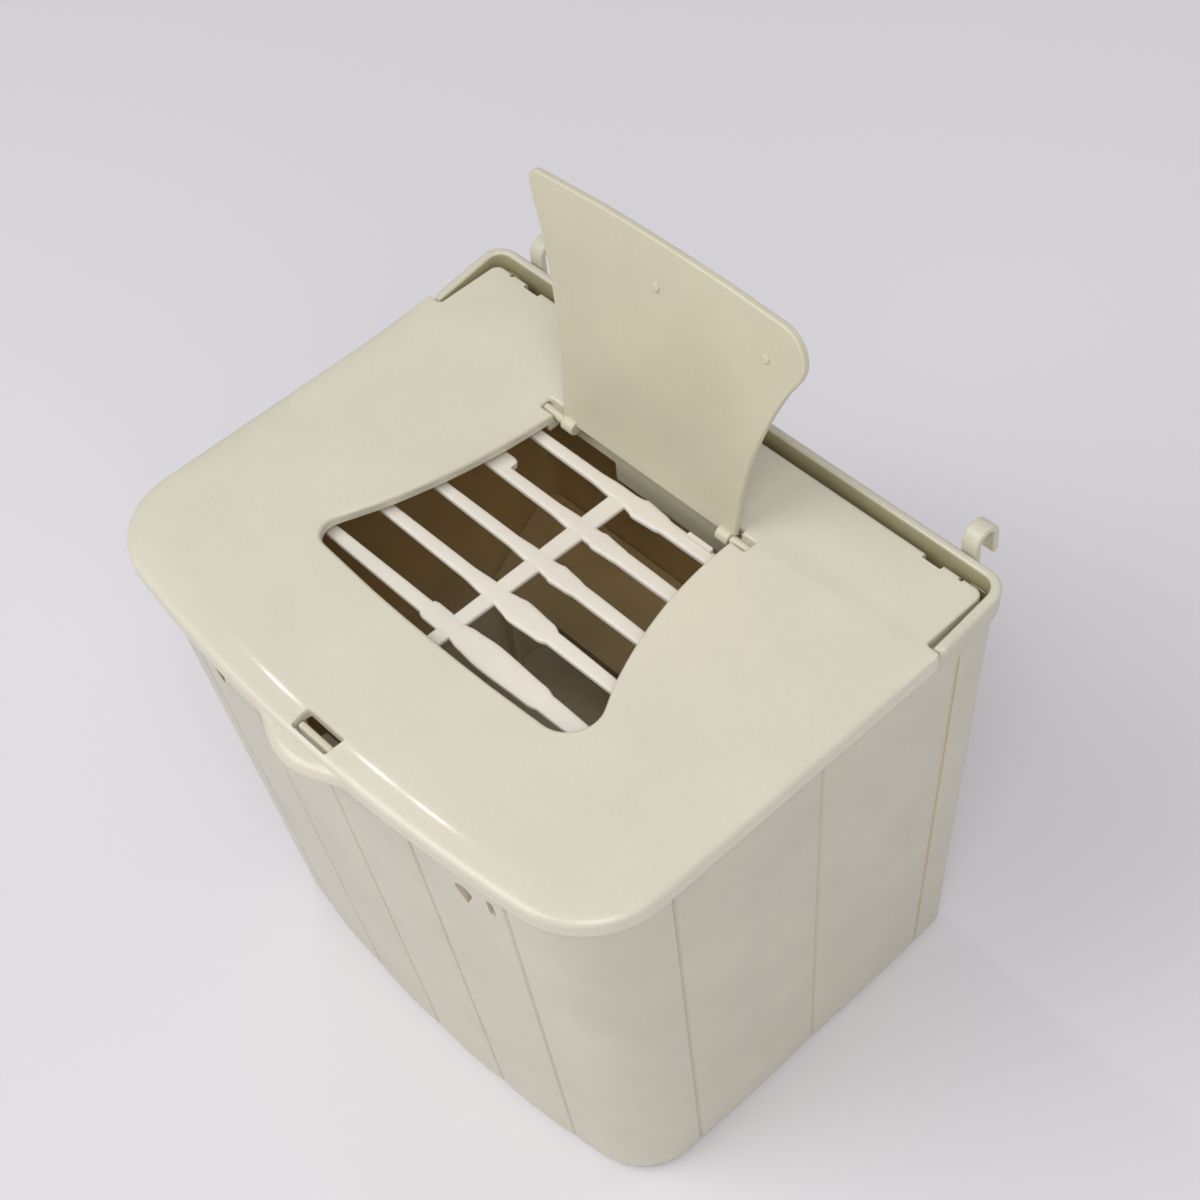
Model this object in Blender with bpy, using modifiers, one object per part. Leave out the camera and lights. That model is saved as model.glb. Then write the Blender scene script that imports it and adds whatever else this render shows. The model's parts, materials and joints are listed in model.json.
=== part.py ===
"""Rabbit hopper feeder: a moulded box that hangs outside a wire cage, filled from the top.

Metres, +Z up.  The origin is the centre of the flat base.  +Y points to the cage and -Y is the front.
Every piece is a separate object.  Moving pieces have their origin on the axis that they turn about.
"""
import math

import bmesh
import bpy
from mathutils import Matrix, Vector

# ---------------------------------------------------------------- driving dimensions
CLEAR = 0.0003            # gap between neighbouring pieces

# tub
BODY_HALF_W = 0.0829      # outer half width at the top edge
BASE_HALF_W = 0.0728      # outer half width at the base
BODY_TOP = 0.1446         # top edge of the front and side walls
REAR_OUT = 0.0595         # outer face of the flat rear wall
WALL = 0.0025
FLOOR = 0.0026
FRONT_Y = -0.0646         # front wall at its corners, at the top
FRONT_BOW = 0.0078        # how far the front wall bows out at its middle
BASE_DEPTH = 0.1190       # depth of the tub at the base
CORNER_R = 0.0190
BASE_ROUND = 0.0040       # rounding of the bottom edge
GROOVE = 0.0009           # depth of the grooves between the wall panels
GROOVE_HALF = 0.00055
PILLOW = 0.00035          # how far each panel swells between its grooves
FRONT_GROOVES = (0.0283, 0.0565)
SIDE_GROOVES = (-0.044, 0.001, 0.045)

# raised rim around the rear of the lid
RIM_TOP = 0.1500
RIM_BOTTOM = 0.1330       # the rim block slopes in to the wall down to here
RIM_SLOPE_TOP = 0.1450
RIM_FOOT_HALF_W = 0.0816
RIM_HALF_W = 0.0850
RIM_T = 0.0028
RIM_FRONT = 0.0358        # where the side returns of the rim end
RIM_R = 0.0065
LEDGE_Z = 0.1442          # wall top under the narrow rear part of the lid

# main lid
LID_TOP = 0.1476
LID_T = 0.0026
LID_HALF_W = 0.0850
LID_REAR_HALF_W = 0.0809
LID_REAR_Y = 0.0547
LID_REAR_R = 0.0026
LID_FRONT_Y = -0.0676
LID_BOW = 0.0078
LID_CORNER_R = 0.0220
LID_STEP_Y = 0.0353
SKIRT_T = 0.0016
SKIRT_BOTTOM = 0.1425
LID_AXIS = (0.0499, 0.1426)      # y, z of the lid hinge
LID_PIN_R = 0.00125
LID_BOSS_R = 0.0029

# hollow behind the lid hinge, into which the lid's rear edge swings
SWING_HALF_W = 0.0813
SWING_Y = (0.0460, 0.0568)
SWING_BOTTOM = 0.1368
SWING_R = 0.0018

# fill opening and flap
OPEN_REAR = 0.0322        # rear edge of the opening
OPEN_FRONT = -0.0363      # front edge of the opening
OPEN_RIGHT = (0.0293, -0.064, 5.18)      # half width: at the rear edge, its slope and its curve
OPEN_LEFT = (0.0303, 0.0144, 3.14)
OPEN_CORNERS = (0.0080, 0.0050)          # front corner radii, right and left
OPEN_BOW = 0.0012
FLAP_AXIS = (0.0294, 0.1456)     # y, z of the flap hinge
FLAP_T = 0.0022
FLAP_LEN = 0.0648
FLAP_GAPS = (0.0006, 0.0015)     # gap to the opening, right and left
FLAP_CORNERS = (0.0080, 0.0030)
FLAP_OPEN = 99.0          # degrees the flap stands open in the modelled pose
FLAP_BARREL_R = 0.0020
FLAP_PIN_R = 0.0012
SOCKET_DEPTH = 0.0072     # how far a flap socket reaches outward from the opening

# grid under the lid
GRID_TOP = 0.1436
GRID_T = 0.0020
BAR_Y = (0.0233, 0.0099, -0.0035, -0.0169, -0.0303)
CROSS_X = -0.0018
GRID_SCREWS = ((0.0470, 0.0370), (0.0610, -0.0395))

# snap catch at the front
CATCH_X = 0.0020          # the slot and the catch sit a little right of the middle
SLOT_HALF_W = 0.0059
SLOT_Y = (-0.0740, -0.0686)
CATCH_AXIS = (-0.0680, 0.1140)   # y, z of the flexing root

# rear wall, ramp and hooks
WINDOW_HALF_W = 0.0450
WINDOW_Z = (0.0160, 0.0600)
RAMP_T = 0.0022
HOOK_X = 0.0715
HOOK_W = 0.0046
HOOK_TOP_Z = 0.1515       # height of the centre of the hook's curl
HOOK_T = 0.0019
HOOK_WIRE_R = 0.0021      # inner radius of the hook, for a cage wire of 3 to 4 mm
HOOD_FRONT = (0.0320, 0.0490)    # y, z of the free edge of the hood over the trough
HOOD_REAR_Z = 0.0690
HOOD_T = 0.0020
HOOK_SCREW_Z = (0.1195, 0.1305)

COLOURS = {
    "body": (0.66, 0.64, 0.56, 0.32),
    "lid": (0.72, 0.69, 0.61, 0.24),
    "flap": (0.64, 0.61, 0.50, 0.30),
    "grid": (0.78, 0.75, 0.67, 0.35),
    "inner": (0.62, 0.58, 0.46, 0.40),
    "steel": (0.62, 0.62, 0.63, 0.28),
}


# ---------------------------------------------------------------- helpers
def clear_scene():
    for obj in list(bpy.data.objects):
        bpy.data.objects.remove(obj, do_unlink=True)


def make_collection(name):
    coll = bpy.data.collections.new(name)
    bpy.context.scene.collection.children.link(coll)
    return coll


def make_material(name, look):
    red, green, blue, rough = COLOURS[look]
    mat = bpy.data.materials.new(name)
    mat.use_nodes = True
    shader = mat.node_tree.nodes["Principled BSDF"]
    shader.inputs["Base Color"].default_value = (red, green, blue, 1.0)
    shader.inputs["Roughness"].default_value = rough
    shader.inputs["Metallic"].default_value = 1.0 if look == "steel" else 0.0
    mat.diffuse_color = (red, green, blue, 1.0)
    return mat


def add_object(name, mesh, look=None):
    """A part when it has a look, else a cutter or a joining shape."""
    obj = bpy.data.objects.new(name, mesh)
    if look:
        PARTS.objects.link(obj)
        mesh.materials.append(make_material("mat_" + name, look))
    else:
        CUTTERS.objects.link(obj)
        obj.hide_render = True
        obj.display_type = "WIRE"
    return obj


def combine(target, other, how):
    """Leave a Boolean on the target, and file the other shape with the cutters."""
    mod = target.modifiers.new(how.lower() + "_" + other.name, "BOOLEAN")
    mod.operation = how
    mod.solver = "EXACT"
    mod.object = other


def rounded(points, steps=6):
    """Outline through (x, y, radius) corners, with an arc wherever the radius is above zero."""
    out = []
    count = len(points)
    for i, (x, y, radius) in enumerate(points):
        here = Vector((x, y))
        if radius <= 0.0:
            out.append(here)
            continue
        back = (Vector(points[i - 1][:2]) - here).normalized()
        ahead = (Vector(points[(i + 1) % count][:2]) - here).normalized()
        half = back.angle(ahead) / 2.0
        centre = here + (back + ahead).normalized() * (radius / math.sin(half))
        start = here + back * (radius / math.tan(half)) - centre
        end = here + ahead * (radius / math.tan(half)) - centre
        sweep = math.atan2(start.x * end.y - start.y * end.x, start.dot(end))
        for k in range(steps + 1):
            turned = Matrix.Rotation(sweep * k / steps, 2) @ start
            out.append(centre + turned)
    return out


def plate(name, loops, z_low, z_high, look=None, bevel=0.0, bevel_steps=0):
    """Flat outline (with any holes) given thickness, as a closed mesh."""
    curve = bpy.data.curves.new(name + "_outline", "CURVE")
    curve.dimensions = "2D"
    curve.fill_mode = "BOTH"
    curve.extrude = (z_high - z_low) / 2.0 - bevel
    curve.bevel_depth = bevel
    curve.bevel_resolution = bevel_steps
    curve.offset = -bevel
    curve.render_resolution_u = 0
    for loop in loops:
        spline = curve.splines.new("POLY")
        spline.points.add(len(loop) - 1)
        for point, (x, y) in zip(spline.points, loop):
            point.co = (x, y, 0.0, 1.0)
        spline.use_cyclic_u = True
    temp = bpy.data.objects.new(name + "_temp", curve)
    CUTTERS.objects.link(temp)
    temp.location.z = (z_low + z_high) / 2.0
    bpy.context.view_layer.update()
    evaluated = temp.evaluated_get(bpy.context.evaluated_depsgraph_get())
    mesh = bpy.data.meshes.new_from_object(evaluated)
    mesh.transform(temp.matrix_world)
    bpy.data.objects.remove(temp, do_unlink=True)
    bpy.data.curves.remove(curve)
    bm = bmesh.new()
    bm.from_mesh(mesh)
    bmesh.ops.remove_doubles(bm, verts=bm.verts, dist=0.000005)
    bmesh.ops.recalc_face_normals(bm, faces=bm.faces)
    bm.to_mesh(mesh)
    bm.free()
    mesh.materials.clear()
    return add_object(name, mesh, look)


def side_plate(name, loop_yz, x_low, x_high, look=None, bevel=0.0):
    """Outline drawn in the Y-Z plane, given thickness along X."""
    obj = plate(name, [loop_yz], x_low, x_high, look, bevel)
    turn = Matrix(((0, 0, 1, 0), (1, 0, 0, 0), (0, 1, 0, 0), (0, 0, 0, 1)))
    obj.data.transform(turn)
    return obj


def box(name, low, high, look=None):
    bm = bmesh.new()
    bmesh.ops.create_cube(bm, size=1.0)
    size = [b - a for a, b in zip(low, high)]
    middle = [(a + b) / 2.0 for a, b in zip(low, high)]
    bmesh.ops.scale(bm, vec=size, verts=bm.verts)
    bmesh.ops.translate(bm, vec=middle, verts=bm.verts)
    mesh = bpy.data.meshes.new(name)
    bm.to_mesh(mesh)
    bm.free()
    return add_object(name, mesh, look)


def rod(name, start, end, radius, look=None, segments=20):
    """Round bar between two points."""
    start, end = Vector(start), Vector(end)
    axis = end - start
    bm = bmesh.new()
    bmesh.ops.create_cone(bm, cap_ends=True, segments=segments, radius1=radius, radius2=radius, depth=axis.length)
    turn = Vector((0, 0, 1)).rotation_difference(axis.normalized()).to_matrix().to_4x4()
    bmesh.ops.transform(bm, matrix=Matrix.Translation((start + end) / 2.0) @ turn, verts=bm.verts)
    mesh = bpy.data.meshes.new(name)
    bm.to_mesh(mesh)
    bm.free()
    mesh.shade_smooth()
    mesh.set_sharp_from_angle(angle=math.radians(40))
    return add_object(name, mesh, look)


def re_origin(obj, point):
    """Move the object's origin to a point without moving its surface."""
    obj.data.transform(Matrix.Translation(-Vector(point)))
    obj.location = point


def mirrored(points):
    """Both halves of an outline that is given from the middle of the front to the middle of the rear, at +X."""
    left = [(-x, y, r) for x, y, r in reversed(points) if x > 0.0]
    return points + left


# ---------------------------------------------------------------- hopper body
def tub_outline(inset, grooved):
    """Outline of the tub at its top edge, front middle first, with pillowed panels when grooved."""
    half_w = BODY_HALF_W - inset
    rear = REAR_OUT - inset
    points = []

    def front(x):
        return FRONT_Y + inset - FRONT_BOW * (1.0 - (x / half_w) ** 2)

    def panel(x_from, x_to):
        for k in (1, 2, 3):
            x = x_from + (x_to - x_from) * k / 4.0
            swell = PILLOW * (1.0 - (k / 2.0 - 1.0) ** 2)
            points.append((x, front(x) - swell, 0.0))

    if not grooved:
        points = [(half_w * k / 10.0, front(half_w * k / 10.0), 0.0) for k in range(8)]
        points += [(half_w, FRONT_Y + inset, CORNER_R - inset), (half_w, rear, 0.006)]
        return rounded(mirrored(points), 7)
    points.append((0.0, front(0.0) + GROOVE, 0.0))
    start = 0.0
    for groove in FRONT_GROOVES:
        points.append((start + GROOVE_HALF, front(start), 0.0))
        panel(start + GROOVE_HALF, groove - GROOVE_HALF)
        points.append((groove - GROOVE_HALF, front(groove), 0.0))
        points.append((groove, front(groove) + GROOVE, 0.0))
        start = groove
    points.append((start + GROOVE_HALF, front(start), 0.0))
    points.append((half_w, FRONT_Y, CORNER_R))
    start = None
    for groove in SIDE_GROOVES:
        if start is not None:
            for k in (1, 2, 3):
                y = start + (groove - start) * k / 4.0
                points.append((half_w + PILLOW * (1.0 - (k / 2.0 - 1.0) ** 2), y, 0.0))
        points.append((half_w, groove - GROOVE_HALF, 0.0))
        points.append((half_w - GROOVE, groove, 0.0))
        points.append((half_w, groove + GROOVE_HALF, 0.0))
        start = groove
    points.append((half_w, rear, 0.006))
    return rounded(mirrored(points), 7)


def taper(obj, inset, rounding):
    """Narrow an upright prism towards the base: sides and front come in, the rear wall stays upright."""
    bm = bmesh.new()
    bm.from_mesh(obj.data)
    levels = [rounding * s for s in (0.12, 0.4, 1.0)] if rounding else []
    for level in levels:
        geom = bm.verts[:] + bm.edges[:] + bm.faces[:]
        bmesh.ops.bisect_plane(bm, geom=geom, dist=1e-6, plane_co=(0, 0, level), plane_no=(0, 0, 1))
    top_w = BODY_HALF_W - inset
    base_w = BASE_HALF_W - inset
    rear = REAR_OUT - inset
    top_d = REAR_OUT - FRONT_Y + FRONT_BOW - 2.0 * inset
    base_d = BASE_DEPTH - 2.0 * inset
    for vert in bm.verts:
        rise = vert.co.z / BODY_TOP
        pull = 0.0
        if rounding and vert.co.z < rounding:
            gone = 1.0 - vert.co.z / rounding
            pull = rounding * (1.0 - math.sqrt(max(0.0, 1.0 - gone * gone)))
        width = base_w + (top_w - base_w) * rise - pull
        depth = base_d + (top_d - base_d) * rise - pull
        vert.co.x *= width / top_w
        vert.co.y = rear - (rear - vert.co.y) * depth / top_d
    bm.to_mesh(obj.data)
    bm.free()


def narrow_foot(block):
    """Slope the sides of the rim block in to the tub wall below it."""
    bm = bmesh.new()
    bm.from_mesh(block.data)
    geom = bm.verts[:] + bm.edges[:] + bm.faces[:]
    bmesh.ops.bisect_plane(bm, geom=geom, dist=1e-6, plane_co=(0, 0, RIM_SLOPE_TOP), plane_no=(0, 0, 1))
    for vert in bm.verts:
        if vert.co.z < RIM_SLOPE_TOP - 0.0001:
            down = (RIM_SLOPE_TOP - vert.co.z) / (RIM_SLOPE_TOP - RIM_BOTTOM)
            vert.co.x *= 1.0 - down * (1.0 - RIM_FOOT_HALF_W / RIM_HALF_W)
    bm.to_mesh(block.data)
    bm.free()


def build_body():
    body = plate("hopper_body", [tub_outline(0.0, True)], 0.0, BODY_TOP, "body")
    taper(body, 0.0, BASE_ROUND)

    rim = rounded([
        (RIM_HALF_W, RIM_FRONT, 0.0015), (RIM_HALF_W, REAR_OUT, RIM_R),
        (-RIM_HALF_W, REAR_OUT, RIM_R), (-RIM_HALF_W, RIM_FRONT, 0.0015)], 6)
    rim_block = plate("rim_block", [rim], RIM_BOTTOM, RIM_TOP, None, 0.0009, 1)

    narrow_foot(rim_block)
    combine(body, rim_block, "UNION")

    hollow = plate("hollow", [tub_outline(WALL, False)], FLOOR, 0.1550)
    taper(hollow, WALL, 0.0)
    combine(body, hollow, "DIFFERENCE")

    inner_w = RIM_HALF_W - RIM_T
    pocket = rounded([
        (inner_w, RIM_FRONT - 0.004, 0.0), (inner_w, REAR_OUT - WALL, RIM_R - RIM_T),
        (-inner_w, REAR_OUT - WALL, RIM_R - RIM_T), (-inner_w, RIM_FRONT - 0.004, 0.0)], 6)
    combine(body, plate("rear_pocket", [pocket], LEDGE_Z, 0.1560), "DIFFERENCE")

    # the side returns of the rim slope down to the lid at their front ends
    slope = side_plate("rim_slope", [
        (0.0300, 0.1446), (0.0357, 0.1450), (0.0362, 0.1462), (0.0372, 0.1475), (0.0570, 0.1501),
        (0.0570, 0.1560), (0.0300, 0.1560)], -0.090, 0.090)
    combine(body, slope, "DIFFERENCE")

    for side in (-1, 1):
        swing = rounded([(0.0700, SWING_Y[0], 0.0), (SWING_HALF_W, SWING_Y[0], 0.0),
                         (SWING_HALF_W, SWING_Y[1], SWING_R), (0.0700, SWING_Y[1], 0.0)], 4)
        room = plate("swing_room_%d" % side, [swing], SWING_BOTTOM, 0.1450)
        if side < 0:
            room.data.transform(Matrix.Rotation(math.pi, 4, "Z"))
            room.data.transform(Matrix.Translation((0.0, sum(SWING_Y), 0.0)))
        combine(body, room, "DIFFERENCE")

    # feeding window through the rear wall
    low, high = WINDOW_Z
    window = side_plate("feed_window", rounded([
        (0.050, low, 0.0), (0.065, low, 0.0), (0.065, high, 0.0), (0.050, high, 0.0)]),
        -WINDOW_HALF_W, WINDOW_HALF_W)
    combine(body, window, "DIFFERENCE")

    # notch for the catch, and the hanging holes beside it in the front wall
    x = CATCH_X
    combine(body, box("catch_notch", (x - 0.0063, -0.080, 0.1325), (x + 0.0063, -0.064, 0.150)), "DIFFERENCE")
    boss = rod("catch_boss", (x, -0.0684, CATCH_AXIS[1]), (x, -0.0663, CATCH_AXIS[1]), 0.0034)
    combine(body, boss, "UNION")
    bore = rod("catch_bore", (x, -0.0680, CATCH_AXIS[1]), (x, -0.060, CATCH_AXIS[1]), 0.0013, None, 14)
    combine(body, bore, "DIFFERENCE")
    for side in (-1, 1):
        x = 0.0435 * side
        keyhole = [(x + 0.0024 * math.cos(a), 0.1265 + 0.0024 * math.sin(a))
                   for a in [math.radians(-20 + 20 * k) for k in range(12)]]
        keyhole.append((x, 0.1212))
        hole = plate("keyhole_%d" % side, [keyhole], -0.010, 0.010)
        hole.data.transform(Matrix.Rotation(math.radians(90), 4, "X"))
        hole.location = (0.0, -0.068, 0.0)
        combine(body, hole, "DIFFERENCE")
        x = 0.0515 * side
        slot = rounded([(x - 0.0009, 0.1240, 0.0008), (x + 0.0009, 0.1240, 0.0008),
                        (x + 0.0009, 0.1300, 0.0008), (x - 0.0009, 0.1300, 0.0008)], 3)
        hole = plate("side_slot_%d" % side, [slot], -0.010, 0.010)
        hole.data.transform(Matrix.Rotation(math.radians(90), 4, "X"))
        hole.location = (0.0, -0.067, 0.0)
        combine(body, hole, "DIFFERENCE")

    # blind bores for the lid pins, and bosses for the hook screws
    y, z = LID_AXIS
    for side in (-1, 1):
        bore = rod("pin_bore_%d" % side, (side * 0.0780, y, z), (side * 0.0838, y, z), LID_PIN_R + CLEAR)
        combine(body, bore, "DIFFERENCE")
        for k, screw_z in enumerate(HOOK_SCREW_Z):
            x = side * HOOK_X
            boss = rod("hook_boss_%d_%d" % (side, k), (x, 0.0520, screw_z), (x, 0.0580, screw_z), 0.0030, None, 16)
            combine(body, boss, "UNION")
            bore = rod("hook_bore_%d_%d" % (side, k), (x, 0.0532, screw_z), (x, 0.0610, screw_z), 0.0014, None, 14)
            combine(body, bore, "DIFFERENCE")

    # small ledges that carry the ramp
    for side in (-1, 1):
        low, high = sorted((side * 0.0700, side * 0.0744))
        combine(body, box("ramp_ledge_%d" % side, (low, -0.034, 0.0405), (high, -0.018, 0.0431)), "UNION")
    return body


# ---------------------------------------------------------------- lid
def lid_outline(inset):
    half_w = LID_HALF_W - inset
    points = []
    for k in range(8):
        x = half_w * k / 10.0
        points.append((x, LID_FRONT_Y + inset - LID_BOW * (1.0 - (x / half_w) ** 2), 0.0))
    points.append((half_w, LID_FRONT_Y + inset, LID_CORNER_R - inset))
    return points


def opening_half_width(y, side):
    """Half width of the fill opening at a place along it. It spreads towards the front on concave sides."""
    rear, slope, curve = OPEN_RIGHT if side > 0 else OPEN_LEFT
    forward = OPEN_REAR - y
    return rear + slope * forward + curve * forward * forward


def opening_outline(rear, front, gaps, corners):
    """Outline of the opening, or of the flap when gaps make it narrower: counter-clockwise from the front middle."""
    bow = front - OPEN_BOW
    points = [(0.0, bow, 0.0), (0.020, bow + OPEN_BOW * 0.25, 0.0)]
    for side, gap, corner in ((1, gaps[0], corners[0]), (-1, gaps[1], corners[1])):
        half = [(side * (opening_half_width(front, side) - gap), front + 0.0006, corner)]
        for k in range(7, 0, -1):
            y = rear + (front - rear) * k / 9.0
            half.append((side * (opening_half_width(y, side) - gap), y, 0.0))
        half.append((side * (opening_half_width(rear, side) - gap), rear, 0.0008))
        points += half if side > 0 else half[::-1]
    points.append((-0.020, bow + OPEN_BOW * 0.25, 0.0))
    return rounded(points, 6)


def build_lid():
    outer = lid_outline(0.0)
    outer += [(LID_HALF_W, LID_STEP_Y, 0.0012), (LID_REAR_HALF_W, LID_STEP_Y, 0.0012),
              (LID_REAR_HALF_W, LID_REAR_Y, LID_REAR_R)]
    lid = plate("main_lid", [rounded(mirrored(outer), 8)], LID_TOP - LID_T, LID_TOP, "lid", 0.0009, 1)

    skirt_in = lid_outline(SKIRT_T)
    skirt_out = lid_outline(0.0)
    skirt = mirrored(skirt_out + [(LID_HALF_W, LID_STEP_Y, 0.0)])
    core = mirrored(skirt_in + [(LID_HALF_W - SKIRT_T, LID_STEP_Y + 0.002, 0.0)])
    ring = plate("skirt", [rounded(skirt, 8)], SKIRT_BOTTOM, LID_TOP - 0.0011)
    cut = plate("skirt_core", [rounded(core, 8)], SKIRT_BOTTOM - 0.002, LID_TOP - LID_T - 0.00002)
    combine(ring, cut, "DIFFERENCE")
    combine(lid, ring, "UNION")

    # rounded lip at the middle of the front edge, for the thumb
    bm = bmesh.new()
    bmesh.ops.create_uvsphere(bm, u_segments=28, v_segments=14, radius=1.0)
    bmesh.ops.scale(bm, vec=(0.0150, 0.0078, 0.0042), verts=bm.verts)
    bmesh.ops.translate(bm, vec=(0.0, -0.0737, 0.1428), verts=bm.verts)
    mesh = bpy.data.meshes.new("thumb_lip")
    bm.to_mesh(mesh)
    bm.free()
    lip = add_object("thumb_lip", mesh)
    combine(lip, box("thumb_trim", (-0.03, -0.07415, 0.130), (0.03, -0.055, 0.160)), "DIFFERENCE")
    combine(lid, lip, "UNION")

    # fill opening, catch slot, and notches in the rear edge beside the hinge
    opening = opening_outline(OPEN_REAR, OPEN_FRONT, (0.0, 0.0), OPEN_CORNERS)
    combine(lid, plate("fill_opening", [opening], 0.135, 0.160), "DIFFERENCE")
    slot = box("catch_slot", (CATCH_X - SLOT_HALF_W, SLOT_Y[0], 0.138), (CATCH_X + SLOT_HALF_W, SLOT_Y[1], 0.150))
    combine(lid, slot, "DIFFERENCE")
    for side in (-1, 1):
        for k, (near, far, deep) in enumerate(((0.0638, 0.0693, 0.0016), (0.0739, 0.0751, 0.0012))):
            low, high = sorted((side * near, side * far))
            notch = box("rear_notch_%d_%d" % (side, k), (low, LID_REAR_Y - deep, 0.140), (high, 0.060, 0.152))
            combine(lid, notch, "DIFFERENCE")

    # hinge bosses for the lid pins
    y, z = LID_AXIS
    for side in (-1, 1):
        low, high = sorted((side * 0.0742, side * 0.0797))
        loop = [(y + LID_BOSS_R * math.cos(a), z + LID_BOSS_R * math.sin(a))
                for a in [math.radians(180 + 18 * k) for k in range(11)]]
        loop += [(y + LID_BOSS_R, LID_TOP - LID_T + 0.0006), (y - LID_BOSS_R, LID_TOP - LID_T + 0.0006)]
        combine(lid, side_plate("lid_boss_%d" % side, loop, low, high), "UNION")
        bore = rod("lid_boss_bore_%d" % side, (side * 0.0730, y, z), (side * 0.0810, y, z), LID_PIN_R + CLEAR)
        combine(lid, bore, "DIFFERENCE")

    # deep flange under the rear edge of the opening, shallower at its left end
    combine(lid, box("rear_flange", (-0.0147, 0.0323, 0.1325), (0.0290, 0.0341, LID_TOP - 0.0010)), "UNION")
    combine(lid, box("rear_flange_low", (-0.0290, 0.0323, 0.1383), (-0.0140, 0.0341, LID_TOP - 0.0010)), "UNION")

    # sockets for the flap pins, open at the top and towards the opening, like snap sockets
    y, z = FLAP_AXIS
    for side in (-1, 1):
        edge = opening_half_width(y, side)
        low, high = sorted((side * (edge + 0.0003), side * (edge + SOCKET_DEPTH)))
        block = box("flap_socket_%d" % side, (low, y - 0.0031, z - 0.0031), (high, y + 0.0031, z + 0.0005))
        combine(lid, block, "UNION")
        bore = rod("flap_socket_bore_%d" % side, (side * (edge - 0.0010), y, z),
                   (side * (edge + SOCKET_DEPTH - 0.0012), y, z), FLAP_PIN_R + CLEAR, None, 16)
        combine(lid, bore, "DIFFERENCE")
        low, high = sorted((side * (edge - 0.0010), side * (edge + 0.0045)))
        mouth = box("socket_mouth_%d" % side, (low, y - 0.0018, z), (high, y + 0.0018, 0.150))
        combine(lid, mouth, "DIFFERENCE")

    # posts that the grid is screwed to
    for k, (px, py) in enumerate(GRID_SCREWS):
        for side in (-1, 1):
            x = side * px
            tag = "%d_%d" % (k, side)
            post = rod("grid_post_" + tag, (x, py, GRID_TOP + CLEAR), (x, py, LID_TOP - 0.0010), 0.0030, None, 18)
            combine(lid, post, "UNION")
            bore = rod("grid_post_bore_" + tag, (x, py, 0.1420), (x, py, LID_TOP - 0.0011), 0.0012, None, 12)
            combine(lid, bore, "DIFFERENCE")
    return lid


def build_flap():
    """Drawn closed, then turned about its hinge to the open angle."""
    y, z = FLAP_AXIS
    front = y - FLAP_LEN
    outline = opening_outline(y - 0.0004, front, FLAP_GAPS, FLAP_CORNERS)
    flap = plate("fill_flap", [outline], LID_TOP - FLAP_T, LID_TOP, "flap", 0.0005)
    for side in (-1, 1):
        barrel = rod("flap_barrel_%d" % side, (side * 0.0240, y, z), (side * 0.0279, y, z), FLAP_BARREL_R, None, 20)
        combine(flap, barrel, "UNION")
        bore = rod("flap_bore_%d" % side, (side * 0.0247, y, z), (side * 0.0290, y, z), FLAP_PIN_R + CLEAR, None, 16)
        combine(flap, bore, "DIFFERENCE")
        # snap nubs near the free edge, on the underside
        x = 0.0155 + side * 0.0165
        nub = rod("flap_nub_%d" % side, (x, front + 0.0105, LID_TOP - FLAP_T - 0.0006),
                  (x, front + 0.0105, LID_TOP - 0.0010), 0.0012, None, 14)
        combine(flap, nub, "UNION")
    re_origin(flap, (0.0, y, z))
    for mod in flap.modifiers:
        re_origin(mod.object, (0.0, y, z))
        mod.object.parent = flap
        mod.object.location = (0.0, 0.0, 0.0)
    flap.rotation_euler.x = -math.radians(FLAP_OPEN)
    return flap


# ---------------------------------------------------------------- grid
def bar_outline(y, left, right, narrow, paddle, paddle_end, tail):
    """One grid bar: narrow at its left end, swollen into a paddle right of the crossbar, then a slim tail."""
    top = [
        (left, narrow), (CROSS_X - 0.010, narrow * 1.15), (CROSS_X - 0.002, narrow * 1.5),
        (CROSS_X + 0.002, narrow * 1.5), (CROSS_X + 0.005, paddle * 0.85),
        (CROSS_X + 0.4 * (paddle_end - CROSS_X), paddle), (paddle_end - 0.0012, paddle * 0.82),
        (paddle_end, tail * 1.25), (right, tail)]
    upper = [(x, y + w / 2.0) for x, w in top]
    lower = [(x, y - w / 2.0) for x, w in reversed(top)]
    return lower[::-1] + upper[::-1]


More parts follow.
